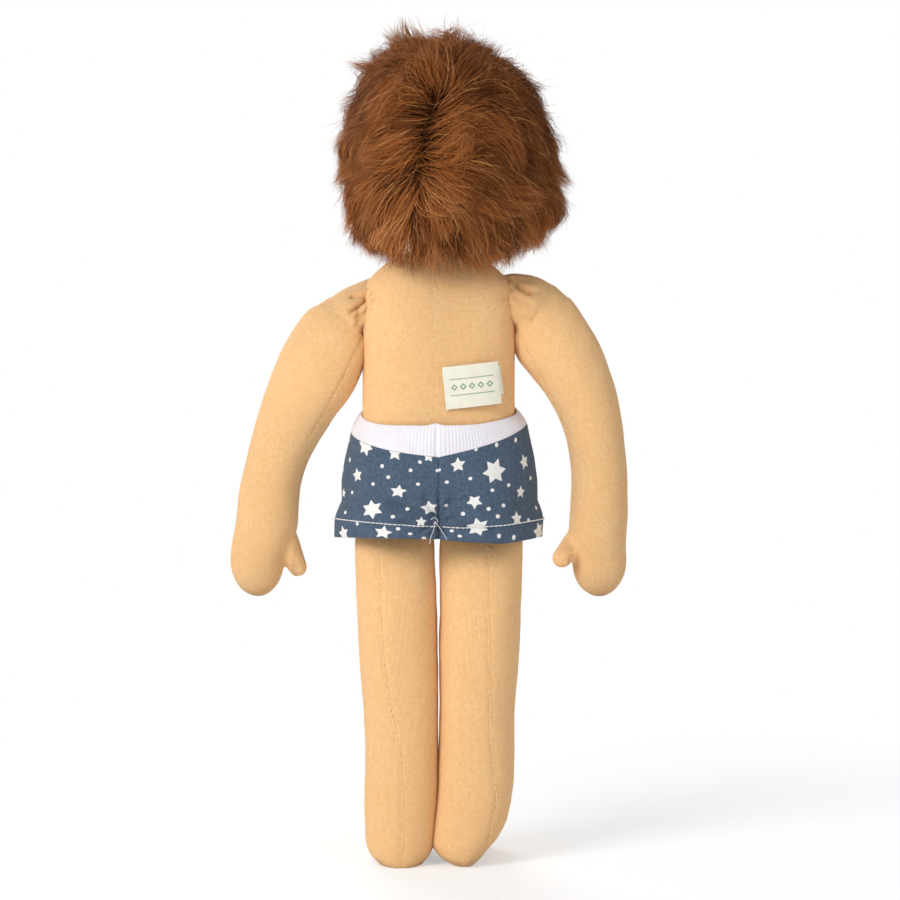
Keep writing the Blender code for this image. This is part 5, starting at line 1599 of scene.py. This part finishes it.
def build_crotch_threads(look):
    """The knot at the crotch with its two short thread ends, lying on the cloth."""
    parts = []
    for places in CROTCH_THREADS:
        path = []
        for x, z in (seen(*place) for place in places):
            path.append((x, NECK[1] + SHORTS_HEM_DEPTH / 2 - 0.6 + 0.035 * (z - HIP_LINE[2]), z))
        parts.append(thread(smooth_rows(path, 16), 0.13))
    stitched("crotch_thread_ends", parts, look, "torso")


# Labels

LABEL_COLUMNS = 130
LABEL_ROWS = 100
LABEL_BOTTOM_SHIFT = 1.9
BAND_INSET = 2.6
DIAMONDS = 5
DIAMOND_HALVES = (1.7, 0.8)
BAND_LINE_PLACE = 3.6
BAND_LINE_HALF = 0.32


def woven_band(across, rising, width, height):
    """How green the weave is: a row of small diamonds between two plain lines."""
    middle = np.abs(rising - height / 2)
    pitch = (width - 2 * BAND_INSET) / DIAMONDS
    step = np.abs((across - BAND_INSET) % pitch - pitch / 2)
    outer, inner = (np.clip((half - step - middle) / 0.25, 0.0, 1.0) for half in DIAMOND_HALVES)
    lines = np.clip((BAND_LINE_HALF - np.abs(middle - BAND_LINE_PLACE)) / 0.2, 0.0, 1.0)
    return np.maximum(outer - inner, lines) * (across > BAND_INSET) * (across < width - BAND_INSET)


def build_label(name, node, width, height, bottom, lift, look, seed):
    """A woven leaf sewn in at the back seam, with a soft curl at its free end, green only for seed one."""
    share, up = np.meshgrid(np.linspace(0, 1, LABEL_COLUMNS), np.linspace(0, 1, LABEL_ROWS))
    share, up = share.ravel(), up.ravel()
    run = LABEL_SEAM_OFFSET + width * share
    rise = bottom + height * up + run * math.tan(math.radians(LABEL_TILT_DEGREES))
    run = run + LABEL_BOTTOM_SHIFT * (1 - up)
    y = torso_back(run, HIP_LINE[2] + bottom + height / 2) + lift + LABEL_LIFT * share**2
    y += 0.35 * np.sin(2.2 * share + seed) * share + 0.5 * share * (up - 0.5) ** 2
    near = np.stack([HIP_LINE[0] - run, y, HIP_LINE[2] + rise], -1)
    points, faces = leaf(near, near + LABEL_THICKNESS * BACK_Y, LABEL_ROWS, LABEL_COLUMNS)
    made = outward(make(name, points, faces, look))
    across, rising = np.tile(width * share, 2), np.tile(height * up, 2)
    store_courses(made, across, rising)
    store(made, "border", woven_band(across, rising, width, height) * seed)
    dress(made, "torso", node)


# Fur hair

FUR_SEED = 5
STRANDS_PER_SIDE = 22000
LOCKS_PER_SIDE = 170
TUFTS_PER_SIDE = 1700
STRAND_STEPS = 9
PILE_LENGTH = 34.0
STRAND_RADIUS = 0.115
FUR_PIECES = ("nape", "lower", "middle", "upper", "crown")
CROSSING_WIDTH = 2.6
SPIKE_SHARE = 0.5
RIM_SHARE = 0.97
SCALP_HALVES = np.array((HEAD_WIDTH / 2, HEAD_DEPTH / 2, HEAD_HEIGHT / 2))
PELT_LOWEST = -0.80
BACKING_ROWS = 90
BACKING_COLUMNS = 110
BACKING_GAPS = (0.35, 1.5)

# Where the parting runs: head heights from the ball's middle, and how far it lies to the doll's left.
PARTING_HEIGHTS = (-45.0, -14.0, 30.0, 45.0)
PARTING_OFFSETS = (8.0, 11.0, 5.0, 3.0)

# The combed way of the pile as seen from behind: picture place, and heading with 0 to the picture's
# right and 90 up. The first table is the side at the picture's left, the doll's left.
BACK_COMB = {
    "left": (
        (432, 66, 118), (415, 52, 140), (392, 60, 165), (368, 72, 190), (430, 95, 160), (403, 92, 190),
        (375, 102, 205), (352, 112, 212), (424, 125, 205), (398, 130, 215), (367, 142, 212),
        (347, 158, 218), (418, 155, 222), (388, 172, 220), (356, 190, 222), (414, 185, 228),
        (392, 212, 236), (365, 224, 236), (412, 212, 246), (396, 244, 250), (418, 225, 258),
        (420, 250, 265), (440, 52, 100),
    ),
    "right": (
        (445, 75, 92), (460, 50, 84), (482, 58, 62), (502, 66, 40), (452, 88, 55), (480, 84, 30),
        (505, 88, 12), (522, 104, -12), (442, 102, 28), (470, 105, 8), (500, 110, -4), (527, 128, -22),
        (438, 122, 5), (470, 122, -6), (505, 128, -12), (540, 142, -32), (434, 146, 8),
        (465, 146, 0), (500, 156, -18), (535, 166, -34), (555, 186, -44), (430, 170, -2),
        (455, 176, -12), (490, 186, -26), (525, 202, -34), (550, 216, -44), (430, 192, -35),
        (450, 202, -40), (480, 216, -38), (510, 230, -42), (532, 240, -42), (430, 212, -68),
        (445, 232, -65), (470, 246, -52), (492, 256, -50), (425, 240, -88),
    ),
}

# The same for the front, with places across and up from the head's middle, for the doll's left.
FRONT_COMB = ((6, 40, 200), (16, 37, 205), (26, 32, 222), (34, 22, 245), (40, 8, 262), (41, -8, 270),
              (38, -22, 272), (30, -32, 270), (12, 30, 215), (20, 24, 232))

# Where the loose pile stands out of the combed outline, or falls short of it: picture place, how far, how wide.
OUTLINE_TUFTS = (
    (388, 33, 3.5, 4.0), (404, 34, 0.0, 3.0), (430, 30, -5.0, 4.0), (455, 26, 4.0, 2.0), (446, 32, 2.0, 2.0),
    (480, 38, -4.0, 4.0), (500, 48, -4.5, 5.0), (372, 46, -1.0, 3.0), (352, 64, 12.0, 3.8), (350, 86, -2.0, 3.0),
    (344, 104, 3.5, 2.8), (340, 122, -2.0, 2.5), (337, 143, 3.5, 3.2), (339, 160, -1.5, 2.5), (340, 177, 1.0, 2.5),
    (340, 200, 1.0, 2.5), (343, 216, -2.5, 2.5), (348, 234, 3.5, 3.0), (364, 250, 1.0, 3.0), (378, 262, -5.0, 4.0),
    (518, 62, -4.0, 4.0), (527, 80, -3.5, 4.0), (540, 104, -3.5, 3.0), (552, 120, -0.5, 3.0), (560, 140, 3.5, 3.0),
    (566, 166, 4.0, 3.0), (570, 186, 8.5, 4.0), (559, 207, 9.5, 4.5), (552, 226, 2.5, 3.0), (540, 242, 4.0, 3.0),
    (558, 252, -6.0, 4.0), (520, 262, -3.5, 4.0), (482, 270, 6.5, 3.0), (447, 270, 6.5, 2.5), (432, 266, 5.0, 2.5),
    (400, 262, 4.0, 5.0), (440, 264, 5.0, 8.0), (475, 264, 5.0, 8.0), (500, 258, 2.0, 4.0),
)
# Tufts drawn to a point: picture place of the middle of the tuft, of its tip, and how wide it is.
SPIKES = (
    ((452, 56), (456, 17), 4.5), ((368, 72), (346, 66), 5.0), ((392, 48), (384, 31), 5.0), ((412, 46), (418, 31), 3.5),
    ((554, 180), (572, 189), 6.0), ((552, 204), (569, 212), 5.0), ((440, 248), (447, 272), 3.5),
    ((478, 250), (484, 273), 4.0), ((428, 246), (432, 267), 3.0), ((352, 138), (334, 145), 4.5),
    ((354, 222), (345, 238), 4.0), ((528, 234), (543, 250), 5.0), ((360, 100), (342, 105), 4.0),
    ((508, 54), (517, 44), 3.5), ((462, 262), (468, 270), 3.0), ((404, 250), (402, 266), 3.5),
    ((536, 94), (549, 92), 3.0), ((350, 182), (335, 188), 4.0), ((410, 238), (410, 262), 6.0),
    ((396, 240), (394, 262), 5.0),
)


def head_local(px, py):
    """A picture place in the head's own axes, from the middle of the head ball."""
    x, z = seen(px, py)
    dx, dz = x - NECK[0] - HEAD_RISE * LEAN_SIN, z - NECK[2] - HEAD_RISE * LEAN_COS
    return dx * LEAN_COS - dz * LEAN_SIN, dx * LEAN_SIN + dz * LEAN_COS


def comb_table(label):
    """Unit places on the head and the unit ways that the pile is combed there."""
    entries = [(*head_local(px, py), 1, heading) for px, py, heading in BACK_COMB[label]]
    if label == "left":
        entries += [(x, z, -1, heading) for x, z, heading in FRONT_COMB]
    else:
        entries += [(-x, z, -1, 180 - heading) for x, z, heading in FRONT_COMB]
    x, z, facing, heading = np.array(entries).T
    shrink = np.minimum(RIM_SHARE * FUR_BACK / np.hypot(x, z), 1.0) / FUR_BACK
    x, z = x * shrink, z * shrink
    places = np.stack([x, facing * np.sqrt(1 - x * x - z * z), z], -1)
    angle = np.radians(heading)
    ways = np.stack([-np.cos(angle), np.zeros(len(angle)), np.sin(angle)], -1)
    return places, unit(along_scalp(ways, places))


def along_scalp(ways, spots):
    """The part of these ways that runs along the head at these unit places."""
    return ways - (ways * spots).sum(axis=1)[:, None] * spots


def combed(spots, table):
    """The combed way at these unit places, from the nearest rows of the table."""
    places, ways = table
    gaps = ((spots[:, None, :] - places[None, :, :]) ** 2).sum(axis=2)
    weights = 1 / (gaps + 0.01) ** 2
    return unit(along_scalp((weights[:, :, None] * ways[None, :, :]).sum(axis=1), spots))


def fur_reach(spots):
    """How far from the head's middle the combed outline lies along these unit ways."""
    shares, middles, widths, fronts, backs = np.array(FUR_SHARES).T
    heights = -FUR_NAPE + (FUR_TOP + FUR_NAPE) * shares
    low, high = np.full(len(spots), 20.0), np.full(len(spots), 85.0)
    for _ in range(12):
        middle = (low + high) / 2
        x, y, z = (spots * middle[:, None]).T
        width = FUR_WIDTH / 2 * np.interp(z, heights, widths)
        back, front = FUR_BACK * np.interp(z, heights, backs), FUR_FRONT * np.interp(z, heights, fronts)
        depth = np.where(y > 0, back, front)
        centre = -FUR_OFFSET * np.interp(z, heights, middles)
        inside = ((x - centre) / width) ** 2 + (y / depth) ** 2 < 1
        inside &= (z > heights[0]) & (z < heights[-1])
        low, high = np.where(inside, middle, low), np.where(inside, high, middle)
    return low


def tuft_extra(spots, reach):
    """How far the outline's tufts stand out beyond the combed outline there."""
    places = spots * reach[:, None]
    rim = soft_step(np.abs(spots[:, 1]), 0.75, 0.25)
    extra = -3.6 * soft_step(spots[:, 0], 0.3, 0.85) - 0.8 * soft_step(-spots[:, 0], 0.3, 0.85)
    for px, py, out, width in OUTLINE_TUFTS:
        x, z = head_local(px, py)
        extra += rim * out * bell(np.hypot(places[:, 0] - x, places[:, 2] - z), width * 1.3)
    return extra


def scalp_reach(spots):
    """How far from its middle the head ball's surface lies along these unit ways."""
    return 1 / np.sqrt(((spots / SCALP_HALVES) ** 2).sum(axis=-1))


def on_scalp(spots):
    """True where the pelt covers the head: not the face, not the nape."""
    tilt = math.radians(FACE_OPENING_TILT_DEGREES)
    way = np.array((0.0, -math.cos(tilt), -math.sin(tilt)))
    arm = spots * scalp_reach(spots)[:, None] + FACE_OPENING_DROP * UP_Z
    ahead = arm @ way
    off = np.linalg.norm(arm - ahead[:, None] * way, axis=1)
    face = (ahead > 0) & (off < FACE_OPENING_RADIUS)
    return ~face & (spots[:, 2] > PELT_LOWEST)


def parting_gap(spots):
    """How far to the doll's left of the parting these places on the scalp are."""
    places = spots * scalp_reach(spots)[:, None]
    line = np.interp(places[:, 2], PARTING_HEIGHTS, PARTING_OFFSETS) * soft_step(spots[:, 1], -1.0, 0.4)
    return places[:, 0] - line


def scalp_roots(draw, count, side):
    """Unit places spread evenly over one side of the parting."""
    found = []
    while sum(map(len, found)) < count:
        spots = unit(draw.normal(size=(count * 3, 3)))
        jitter = draw.normal(0.0, 1.1, len(spots)) * (1 + 3.5 * soft_step(spots[:, 2], 0.6, 0.85))
        found.append(spots[on_scalp(spots) & (side * (parting_gap(spots) - jitter) > 0)])
    return np.concatenate(found)[:count]


def strand_ways(roots, draw, spread_share):
    """Layer, length, turn, flick of the tip and stray at the root of strands with these roots."""
    count = len(roots)
    low = soft_step(roots[:, 2], -0.3, -0.8)
    front = soft_step(-roots[:, 1], 0.2, 0.8)
    crown = soft_step(roots[:, 2], 0.5, 0.85)
    length = PILE_LENGTH * (1 + spread_share * draw.uniform(-0.30, 0.22, count))
    length *= (1 - 0.15 * low) * (1 - 0.25 * front) * (1 - 0.30 * crown)
    layer = 0.965 + spread_share * draw.uniform(-0.12, 0.06, count)
    turn = np.radians(draw.normal(0.0, 17.0 * spread_share, count) * (1 + 1.3 * crown))
    flick = spread_share * draw.uniform(-3.0, 5.5, count) * (1 + 0.5 * crown)
    stray = draw.normal(size=(count, 3)) * (0.4 + 0.9 * crown)[:, None] * spread_share
    return layer, length, turn, flick, stray


def grow(roots, draw, table, spread_share):
    """Paths of strands that stand up from the scalp, bend over at their layer and follow the comb."""
    layer, length, turn, flick, stray = strand_ways(roots, draw, spread_share)
    spots = roots
    radius = scalp_reach(spots) + 0.4
    path = [spots * radius[:, None]]
    step = length / (STRAND_STEPS - 1)
    crossing = bell(parting_gap(roots), CROSSING_WIDTH)
    for share in np.linspace(0, 1, STRAND_STEPS)[1:]:
        way = combed(spots, table)
        swing = (turn * (0.5 + share))[:, None]
        way = way * np.cos(swing) + np.cross(spots, way) * np.sin(swing)
        way = way * (1 - 1.3 * crossing * (1 - share) ** 3)[:, None]
        fall = soft_step(spots[:, 2], -0.2, -0.8) * 0.6
        way = along_scalp(unit(way - fall[:, None] * UP_Z + stray * (1 - share)), spots)
        inner, outer = scalp_reach(spots), fur_reach(spots)
        full = outer + tuft_extra(spots, outer)
        want = inner + 0.5 + np.maximum(full * layer - inner, 1.0) * (1 - (1 - share) ** 2.2)
        want = want + flick * max(share - 0.55, 0.0) ** 2 * 5.0
        climb = np.clip(want - radius, -0.6 * step, 0.93 * step)
        run = np.sqrt(np.maximum(step**2 - climb**2, 0.0))
        radius = np.maximum(radius + climb, inner + 0.6)
        spots = unit(spots + way * (run / radius)[:, None])
        path.append(spots * radius[:, None])
    return np.stack(path, 1)


def draw_spikes(paths, draw):
    """Pulls the strands that end near each spike's middle on to its tip."""
    shares = np.linspace(0, 1, STRAND_STEPS)[None, :, None]
    for middle, tip, width in SPIKES:
        x, z = head_local(*middle)
        end_x, end_z = head_local(*tip)
        ends = paths[:, -2]
        near = (np.hypot(ends[:, 0] - x, ends[:, 2] - z) < width) & (ends[:, 1] > -14.0)
        near &= draw.uniform(0, 1, len(paths)) < SPIKE_SHARE
        if near.any():
            chosen = paths[near]
            end = chosen[:, -1] * (0.0, 0.7, 0.0) + (end_x, 0.0, end_z)
            end += draw.normal(size=end.shape) * (1.3, 2.0, 1.3)
            end += (chosen[:, 4] - end) * draw.uniform(0.0, 0.8, (len(chosen), 1))
            line = between(chosen[:, 2][:, None], end[:, None], np.clip((shares - 0.25) / 0.75, 0.0, 1.0))
            paths[near] = between(chosen, line, soft_step(shares, 0.25, 0.95))
    return paths


def nearest(points, targets):
    """Index of the nearest target for each point, worked out block by block."""
    blocks = [points[start : start + 2000] for start in range(0, len(points), 2000)]
    return np.concatenate([((block[:, None] - targets) ** 2).sum(axis=2).argmin(axis=1) for block in blocks])


def build_fur(label, side, look):
    """One side's strands, gathered into tufts and those into locks, in pieces from the nape to the crown."""
    draw = np.random.default_rng(FUR_SEED + side)
    table = comb_table(label)
    shares = np.linspace(0, 1, STRAND_STEPS)[None, :, None]
    locks = scalp_roots(draw, LOCKS_PER_SIDE, side)
    lock_paths = grow(locks, draw, table, 1.5)
    lock_tone = draw.uniform(0.0, 1.0, len(locks))
    tufts = scalp_roots(draw, TUFTS_PER_SIDE, side)
    lock_of_tuft = nearest(tufts, locks)
    tuft_paths = between(grow(tufts, draw, table, 1.0), lock_paths[lock_of_tuft], 0.84 * shares**1.1)
    roots = scalp_roots(draw, STRANDS_PER_SIDE, side)
    count, height = len(roots), roots[:, 2]
    tuft_of_root = nearest(roots, tufts)
    paths = grow(roots, draw, table, 0.9)
    loose = draw.uniform(0, 1, count) < 0.15 + 0.5 * soft_step(height, -0.45, -0.75)
    grip = np.where(loose, 0.15, draw.uniform(0.62, 0.96, count))[:, None, None]
    paths = between(paths, tuft_paths[tuft_of_root], grip * shares**0.8)
    drift = draw.normal(size=(count, 1, 3)) * shares**2 * np.where(loose, 2.0, 0.75)[:, None, None]
    wave = draw.normal(size=(count, 1, 3)) * np.sin(shares * draw.uniform(3.0, 9.0, (count, 1, 1)))
    paths = draw_spikes(paths, draw) + drift + 0.55 * wave * shares
    tone = 0.56 * lock_tone[lock_of_tuft[tuft_of_root]] + 0.44 * draw.uniform(0, 1, count) ** 1.3
    # Painted light and shade: the tone is raised for strands rooted low on the head, lowered towards the crown and
    # lowered on the doll's right side.
    painted_light_and_shade = 1.04 + 0.4 * soft_step(height, 0.0, -0.65) - 0.26 * soft_step(height, 0.35, 0.85)
    painted_light_and_shade -= 0.20 * (side < 0) * soft_step(height, -0.5, 0.0)
    tone = np.where(draw.uniform(0, 1, count) < 0.05, 0.95, tone * 0.9 * painted_light_and_shade)
    for name, chunk in zip(FUR_PIECES, np.array_split(np.argsort(height), len(FUR_PIECES))):
        made = strand_mesh(f"{label}_fur_{name}", paths[chunk], tone[chunk], draw, look)
        dress(made, "head", f"{label}_fur_panel" if name == FUR_PIECES[0] else None)


def strand_mesh(name, paths, tone, draw, look):
    """Three-sided tapering tubes along the paths, each closed at its root and its tip."""
    count, steps = paths.shape[:2]
    world = to_world((paths + HEAD_RISE * UP_Z).reshape(-1, 3)).reshape(paths.shape)
    ways = unit(np.gradient(world, axis=1))
    across = unit(np.cross(ways, unit(world - world.mean(axis=(0, 1)))))
    out = np.cross(across, ways)
    shares = np.linspace(0, 1, steps)
    taper = np.interp(shares, (0.0, 0.25, 0.7, 1.0), (0.85, 1.0, 0.72, 0.12))
    radius = (STRAND_RADIUS * draw.uniform(0.75, 1.25, count)[:, None] * taper)[..., None]
    rings = [world + radius * (math.cos(angle) * across + math.sin(angle) * out)
             for angle in (2 * math.pi * k / 3 for k in range(3))]
    body = np.stack(rings, 2)[:, :-1].reshape(count, -1, 3)
    points = np.concatenate((body, world[:, -1:]), axis=1)
    per = points.shape[1]
    shift = (np.arange(count) * per)[:, None, None]
    quads = (grid(steps - 1, 3) + shift).reshape(-1, 4)
    triangles = (np.concatenate((fan(per - 4, 3, per - 1), [(2, 1, 0)])) + shift).reshape(-1, 3)
    made = make(name, points.reshape(-1, 3), [quads, triangles], look)
    store(made, "tone", np.repeat(tone, per))
    store(made, "reach", np.tile(np.append(np.repeat(shares[:-1], 3), 1.0), count))
    return made


def build_backing(label, side, look):
    """The dark knitted ground of the pelt, a thin cap that lies on the head under the pile. It is a real part, but its
    dark colour is painted shade for the gaps between the locks.
    """
    edge = math.pi / 2 - 0.002
    z = np.sin(np.linspace(PELT_LOWEST, 1.0, BACKING_ROWS) * math.pi / 2 * 0.999)
    z, angle = np.meshgrid(z, np.linspace(-edge, edge, BACKING_COLUMNS), indexing="ij")
    flat = np.sqrt(np.maximum(1 - z * z, 1e-6))
    spots = np.stack([side * np.cos(angle) * flat, np.sin(angle) * flat, z], -1).reshape(-1, 3)
    points = np.concatenate([spots * (scalp_reach(spots) + gap)[:, None] for gap in BACKING_GAPS])
    face = grid(BACKING_ROWS, BACKING_COLUMNS, closed=False)
    kept = face[on_scalp(unit(points[: len(spots)]))[face].all(axis=1)]
    edges = {}
    for quad in kept:
        for a, b in zip(quad, np.roll(quad, -1)):
            key = (min(a, b), max(a, b))
            edges[key] = None if key in edges else (a, b)
    shift = len(spots)
    rim = [(a, b, b + shift, a + shift) for a, b in filter(None, edges.values())]
    used, faces = np.unique(np.concatenate((kept[:, ::-1], kept + shift, rim)), return_inverse=True)
    points = to_world(points[used] + HEAD_RISE * UP_Z)
    dress(outward(make(f"{label}_fur_backing", points, [faces.reshape(-1, 4)], look)), "head")


# Camera, lights and surroundings

VIEW_ELEVATION_DEGREES = 5.0
VIEW_DISTANCE = 1700.0
PHOTO_SIZE = 900
SENSOR_WIDTH = 36.0


def build_camera():
    x, z = seen(PHOTO_SIZE / 2, PHOTO_SIZE / 2)
    lift = math.radians(VIEW_ELEVATION_DEGREES)
    data = bpy.data.cameras.new("camera")
    data.sensor_width = SENSOR_WIDTH
    data.lens = SENSOR_WIDTH * VIEW_DISTANCE / (PHOTO_SIZE * PX)
    data.clip_start = 0.05
    data.clip_end = 20.0
    camera = link("camera", data)
    way = np.array((0.0, math.cos(lift), math.sin(lift)))
    camera.location = (np.array((x, NECK[1], z)) + VIEW_DISTANCE * way) * MM
    camera.rotation_euler = (math.radians(90.0) - lift, 0.0, math.radians(180.0))
    bpy.context.scene.camera = camera


# Lamps: place in metres, size in metres and power
LAMPS = {
    "key": ((1.2, 1.3, 1.1), 0.9, 27.0),
    "fill": ((-1.3, 1.3, 0.6), 1.4, 5.3),
    "front": ((0.4, -1.6, 1.2), 1.2, 16.0),
}
LAMP_TARGET = (0.0, 0.0, 0.18)


def build_lamp(name, place, size, power):
    data = bpy.data.lights.new(name, "AREA")
    data.shape = "DISK"
    data.size = size
    data.energy = power
    lamp = link(name, data)
    lamp.location = place
    x, y, z = np.array(LAMP_TARGET) - place
    lamp.rotation_euler = (math.atan2(math.hypot(x, y), -z), 0.0, math.atan2(y, x) - math.pi / 2)


WHITE = (1.0, 1.0, 1.0, 1.0)
FLOOR_COLOUR = (0.86, 0.86, 0.86, 1.0)
WHITE_SHARE = 0.16
SHADOW_REACH = (0.16, 0.42)
SHADOW_FADE = 0.35
WORLD_STRENGTH = 0.45


def emptied(holder):
    """The node tree of a new material or world, with no nodes in it."""
    holder.use_nodes = True
    holder.node_tree.nodes.clear()
    return holder.node_tree


def direct_rays(tree):
    """One for rays that show the surroundings themselves: to the camera, in a gloss or through glass."""
    rays = put(tree, "ShaderNodeLightPath").outputs
    direct = calc(tree, "MAXIMUM", rays["Is Camera Ray"], rays["Is Glossy Ray"])
    return calc(tree, "MAXIMUM", direct, rays["Is Transmission Ray"])


def shine(tree, kind, strength):
    return put(tree, kind, {"Color": WHITE, "Strength": strength}).outputs[0]


def build_floor():
    """A white sweep that keeps the doll's soft shadow and runs out to plain white."""
    look = bpy.data.materials.new("white_sweep")
    tree = emptied(look)
    cloth = put(tree, "ShaderNodeBsdfDiffuse", {"Color": FLOOR_COLOUR}).outputs[0]
    glow = shine(tree, "ShaderNodeEmission", WHITE_SHARE)
    lit = put(tree, "ShaderNodeAddShader", {0: cloth, 1: glow}).outputs[0]
    place = put(tree, "ShaderNodeTexCoord").outputs["Object"]
    away = put(tree, "ShaderNodeVectorMath", {0: place}, operation="LENGTH").outputs["Value"]
    far = calc(tree, "MULTIPLY_ADD", spread(tree, away, *SHADOW_REACH), 1 - SHADOW_FADE, SHADOW_FADE)
    white = shine(tree, "ShaderNodeEmission", 1.0)
    shown = put(tree, "ShaderNodeMixShader", {0: far, 1: lit, 2: white}).outputs[0]
    shown = put(tree, "ShaderNodeMixShader", {0: direct_rays(tree), 1: cloth, 2: shown}).outputs[0]
    put(tree, "ShaderNodeOutputMaterial", {"Surface": shown})
    bpy.ops.mesh.primitive_plane_add(size=6.0)
    floor = bpy.context.object
    floor.name = "floor"
    floor.data.materials.append(look)


def build_world():
    """Soft light from all round, seen as plain white."""
    world = bpy.data.worlds.new("studio")
    tree = emptied(world)
    soft, white = (shine(tree, "ShaderNodeBackground", strength) for strength in (WORLD_STRENGTH, 1.0))
    shown = put(tree, "ShaderNodeMixShader", {0: direct_rays(tree), 1: soft, 2: white}).outputs[0]
    put(tree, "ShaderNodeOutputWorld", {"Surface": shown})
    bpy.context.scene.world = world


# Dressing the frame

def dress_nodes(looks):
    """Materials for the solids whose shape is right as it is."""
    for node, look in looks.items():
        obj = frame["nodes"][node]
        obj.data.materials.clear()
        obj.data.materials.append(look)


def build():
    skin = jersey_look()
    skin_thread = thread_look("peach_thread", rgb(248, 206, 150), rgb(232, 182, 124))
    seam_thread = thread_look("pale_seam_thread", rgb(255, 230, 180), rgb(244, 206, 150))
    white_thread = thread_look("white_thread", rgb(244, 242, 240), rgb(206, 204, 204))
    eye_thread = thread_look("dark_eye_thread", rgb(78, 60, 50), rgb(38, 28, 24))
    mouth_thread = thread_look("red_mouth_thread", rgb(206, 98, 84), rgb(160, 64, 54))
    wool = wool_look("stuffing_wool", rgb(242, 234, 214), rgb(206, 194, 166), 6.0)
    gauze = wool_look("tube_gauze", rgb(240, 236, 226), rgb(204, 200, 188), 1.2)
    cloth, band, label_cloth = print_look(), rib_look(), label_look()
    fur, backing = fur_look(), backing_look()

    build_camera()
    build_torso(skin, wool)
    build_back_seam(seam_thread)
    build_head(jersey_look(blush=True))
    build_face(eye_thread, mouth_thread)
    for label, side in SIDES:
        arm = build_arm(label, side, skin, wool)
        build_arm_seam(label, arm, seam_thread)
        build_shoulder_stitches(label, side, skin_thread)
        leg = build_leg(label, side, skin, wool)
        build_leg_seam(label, leg, seam_thread)
        build_ankle_stitches(label, side, leg, skin_thread)
        outer = drape(shorts_surface(side))
        panel = build_shorts(label, side, outer, cloth)
        build_hem_stitches(label, outer, white_thread)
        build_backing(label, side, backing)
        build_fur(label, side, fur)
    build_waistband(band)
    build_crotch_threads(white_thread)
    width = LABEL_WIDTH + CARE_LABEL_EXTRA
    bottom = CARE_LABEL_BOTTOM_RISE
    build_label("care_leaf", "care_label", width, CARE_LABEL_HEIGHT, bottom, FIT_GAP, label_cloth, 0)
    lift = FIT_GAP + LABEL_THICKNESS + FIT_GAP
    size = (LABEL_WIDTH, LABEL_HEIGHT)
    build_label("front_leaf", "front_label", *size, LABEL_BOTTOM_RISE, lift, label_cloth, 1)
    dress_nodes({
        "head_wool": wool, "inner_head_tube": gauze, "eye_line_thread": white_thread,
        "neck_tie_thread": skin_thread, "left_hip_seam_thread": skin_thread, "right_hip_seam_thread": skin_thread,
    })
    build_floor()
    build_world()
    for name, settings in LAMPS.items():
        build_lamp(name, *settings)
    bpy.context.scene.view_settings.view_transform = "Standard"


build()
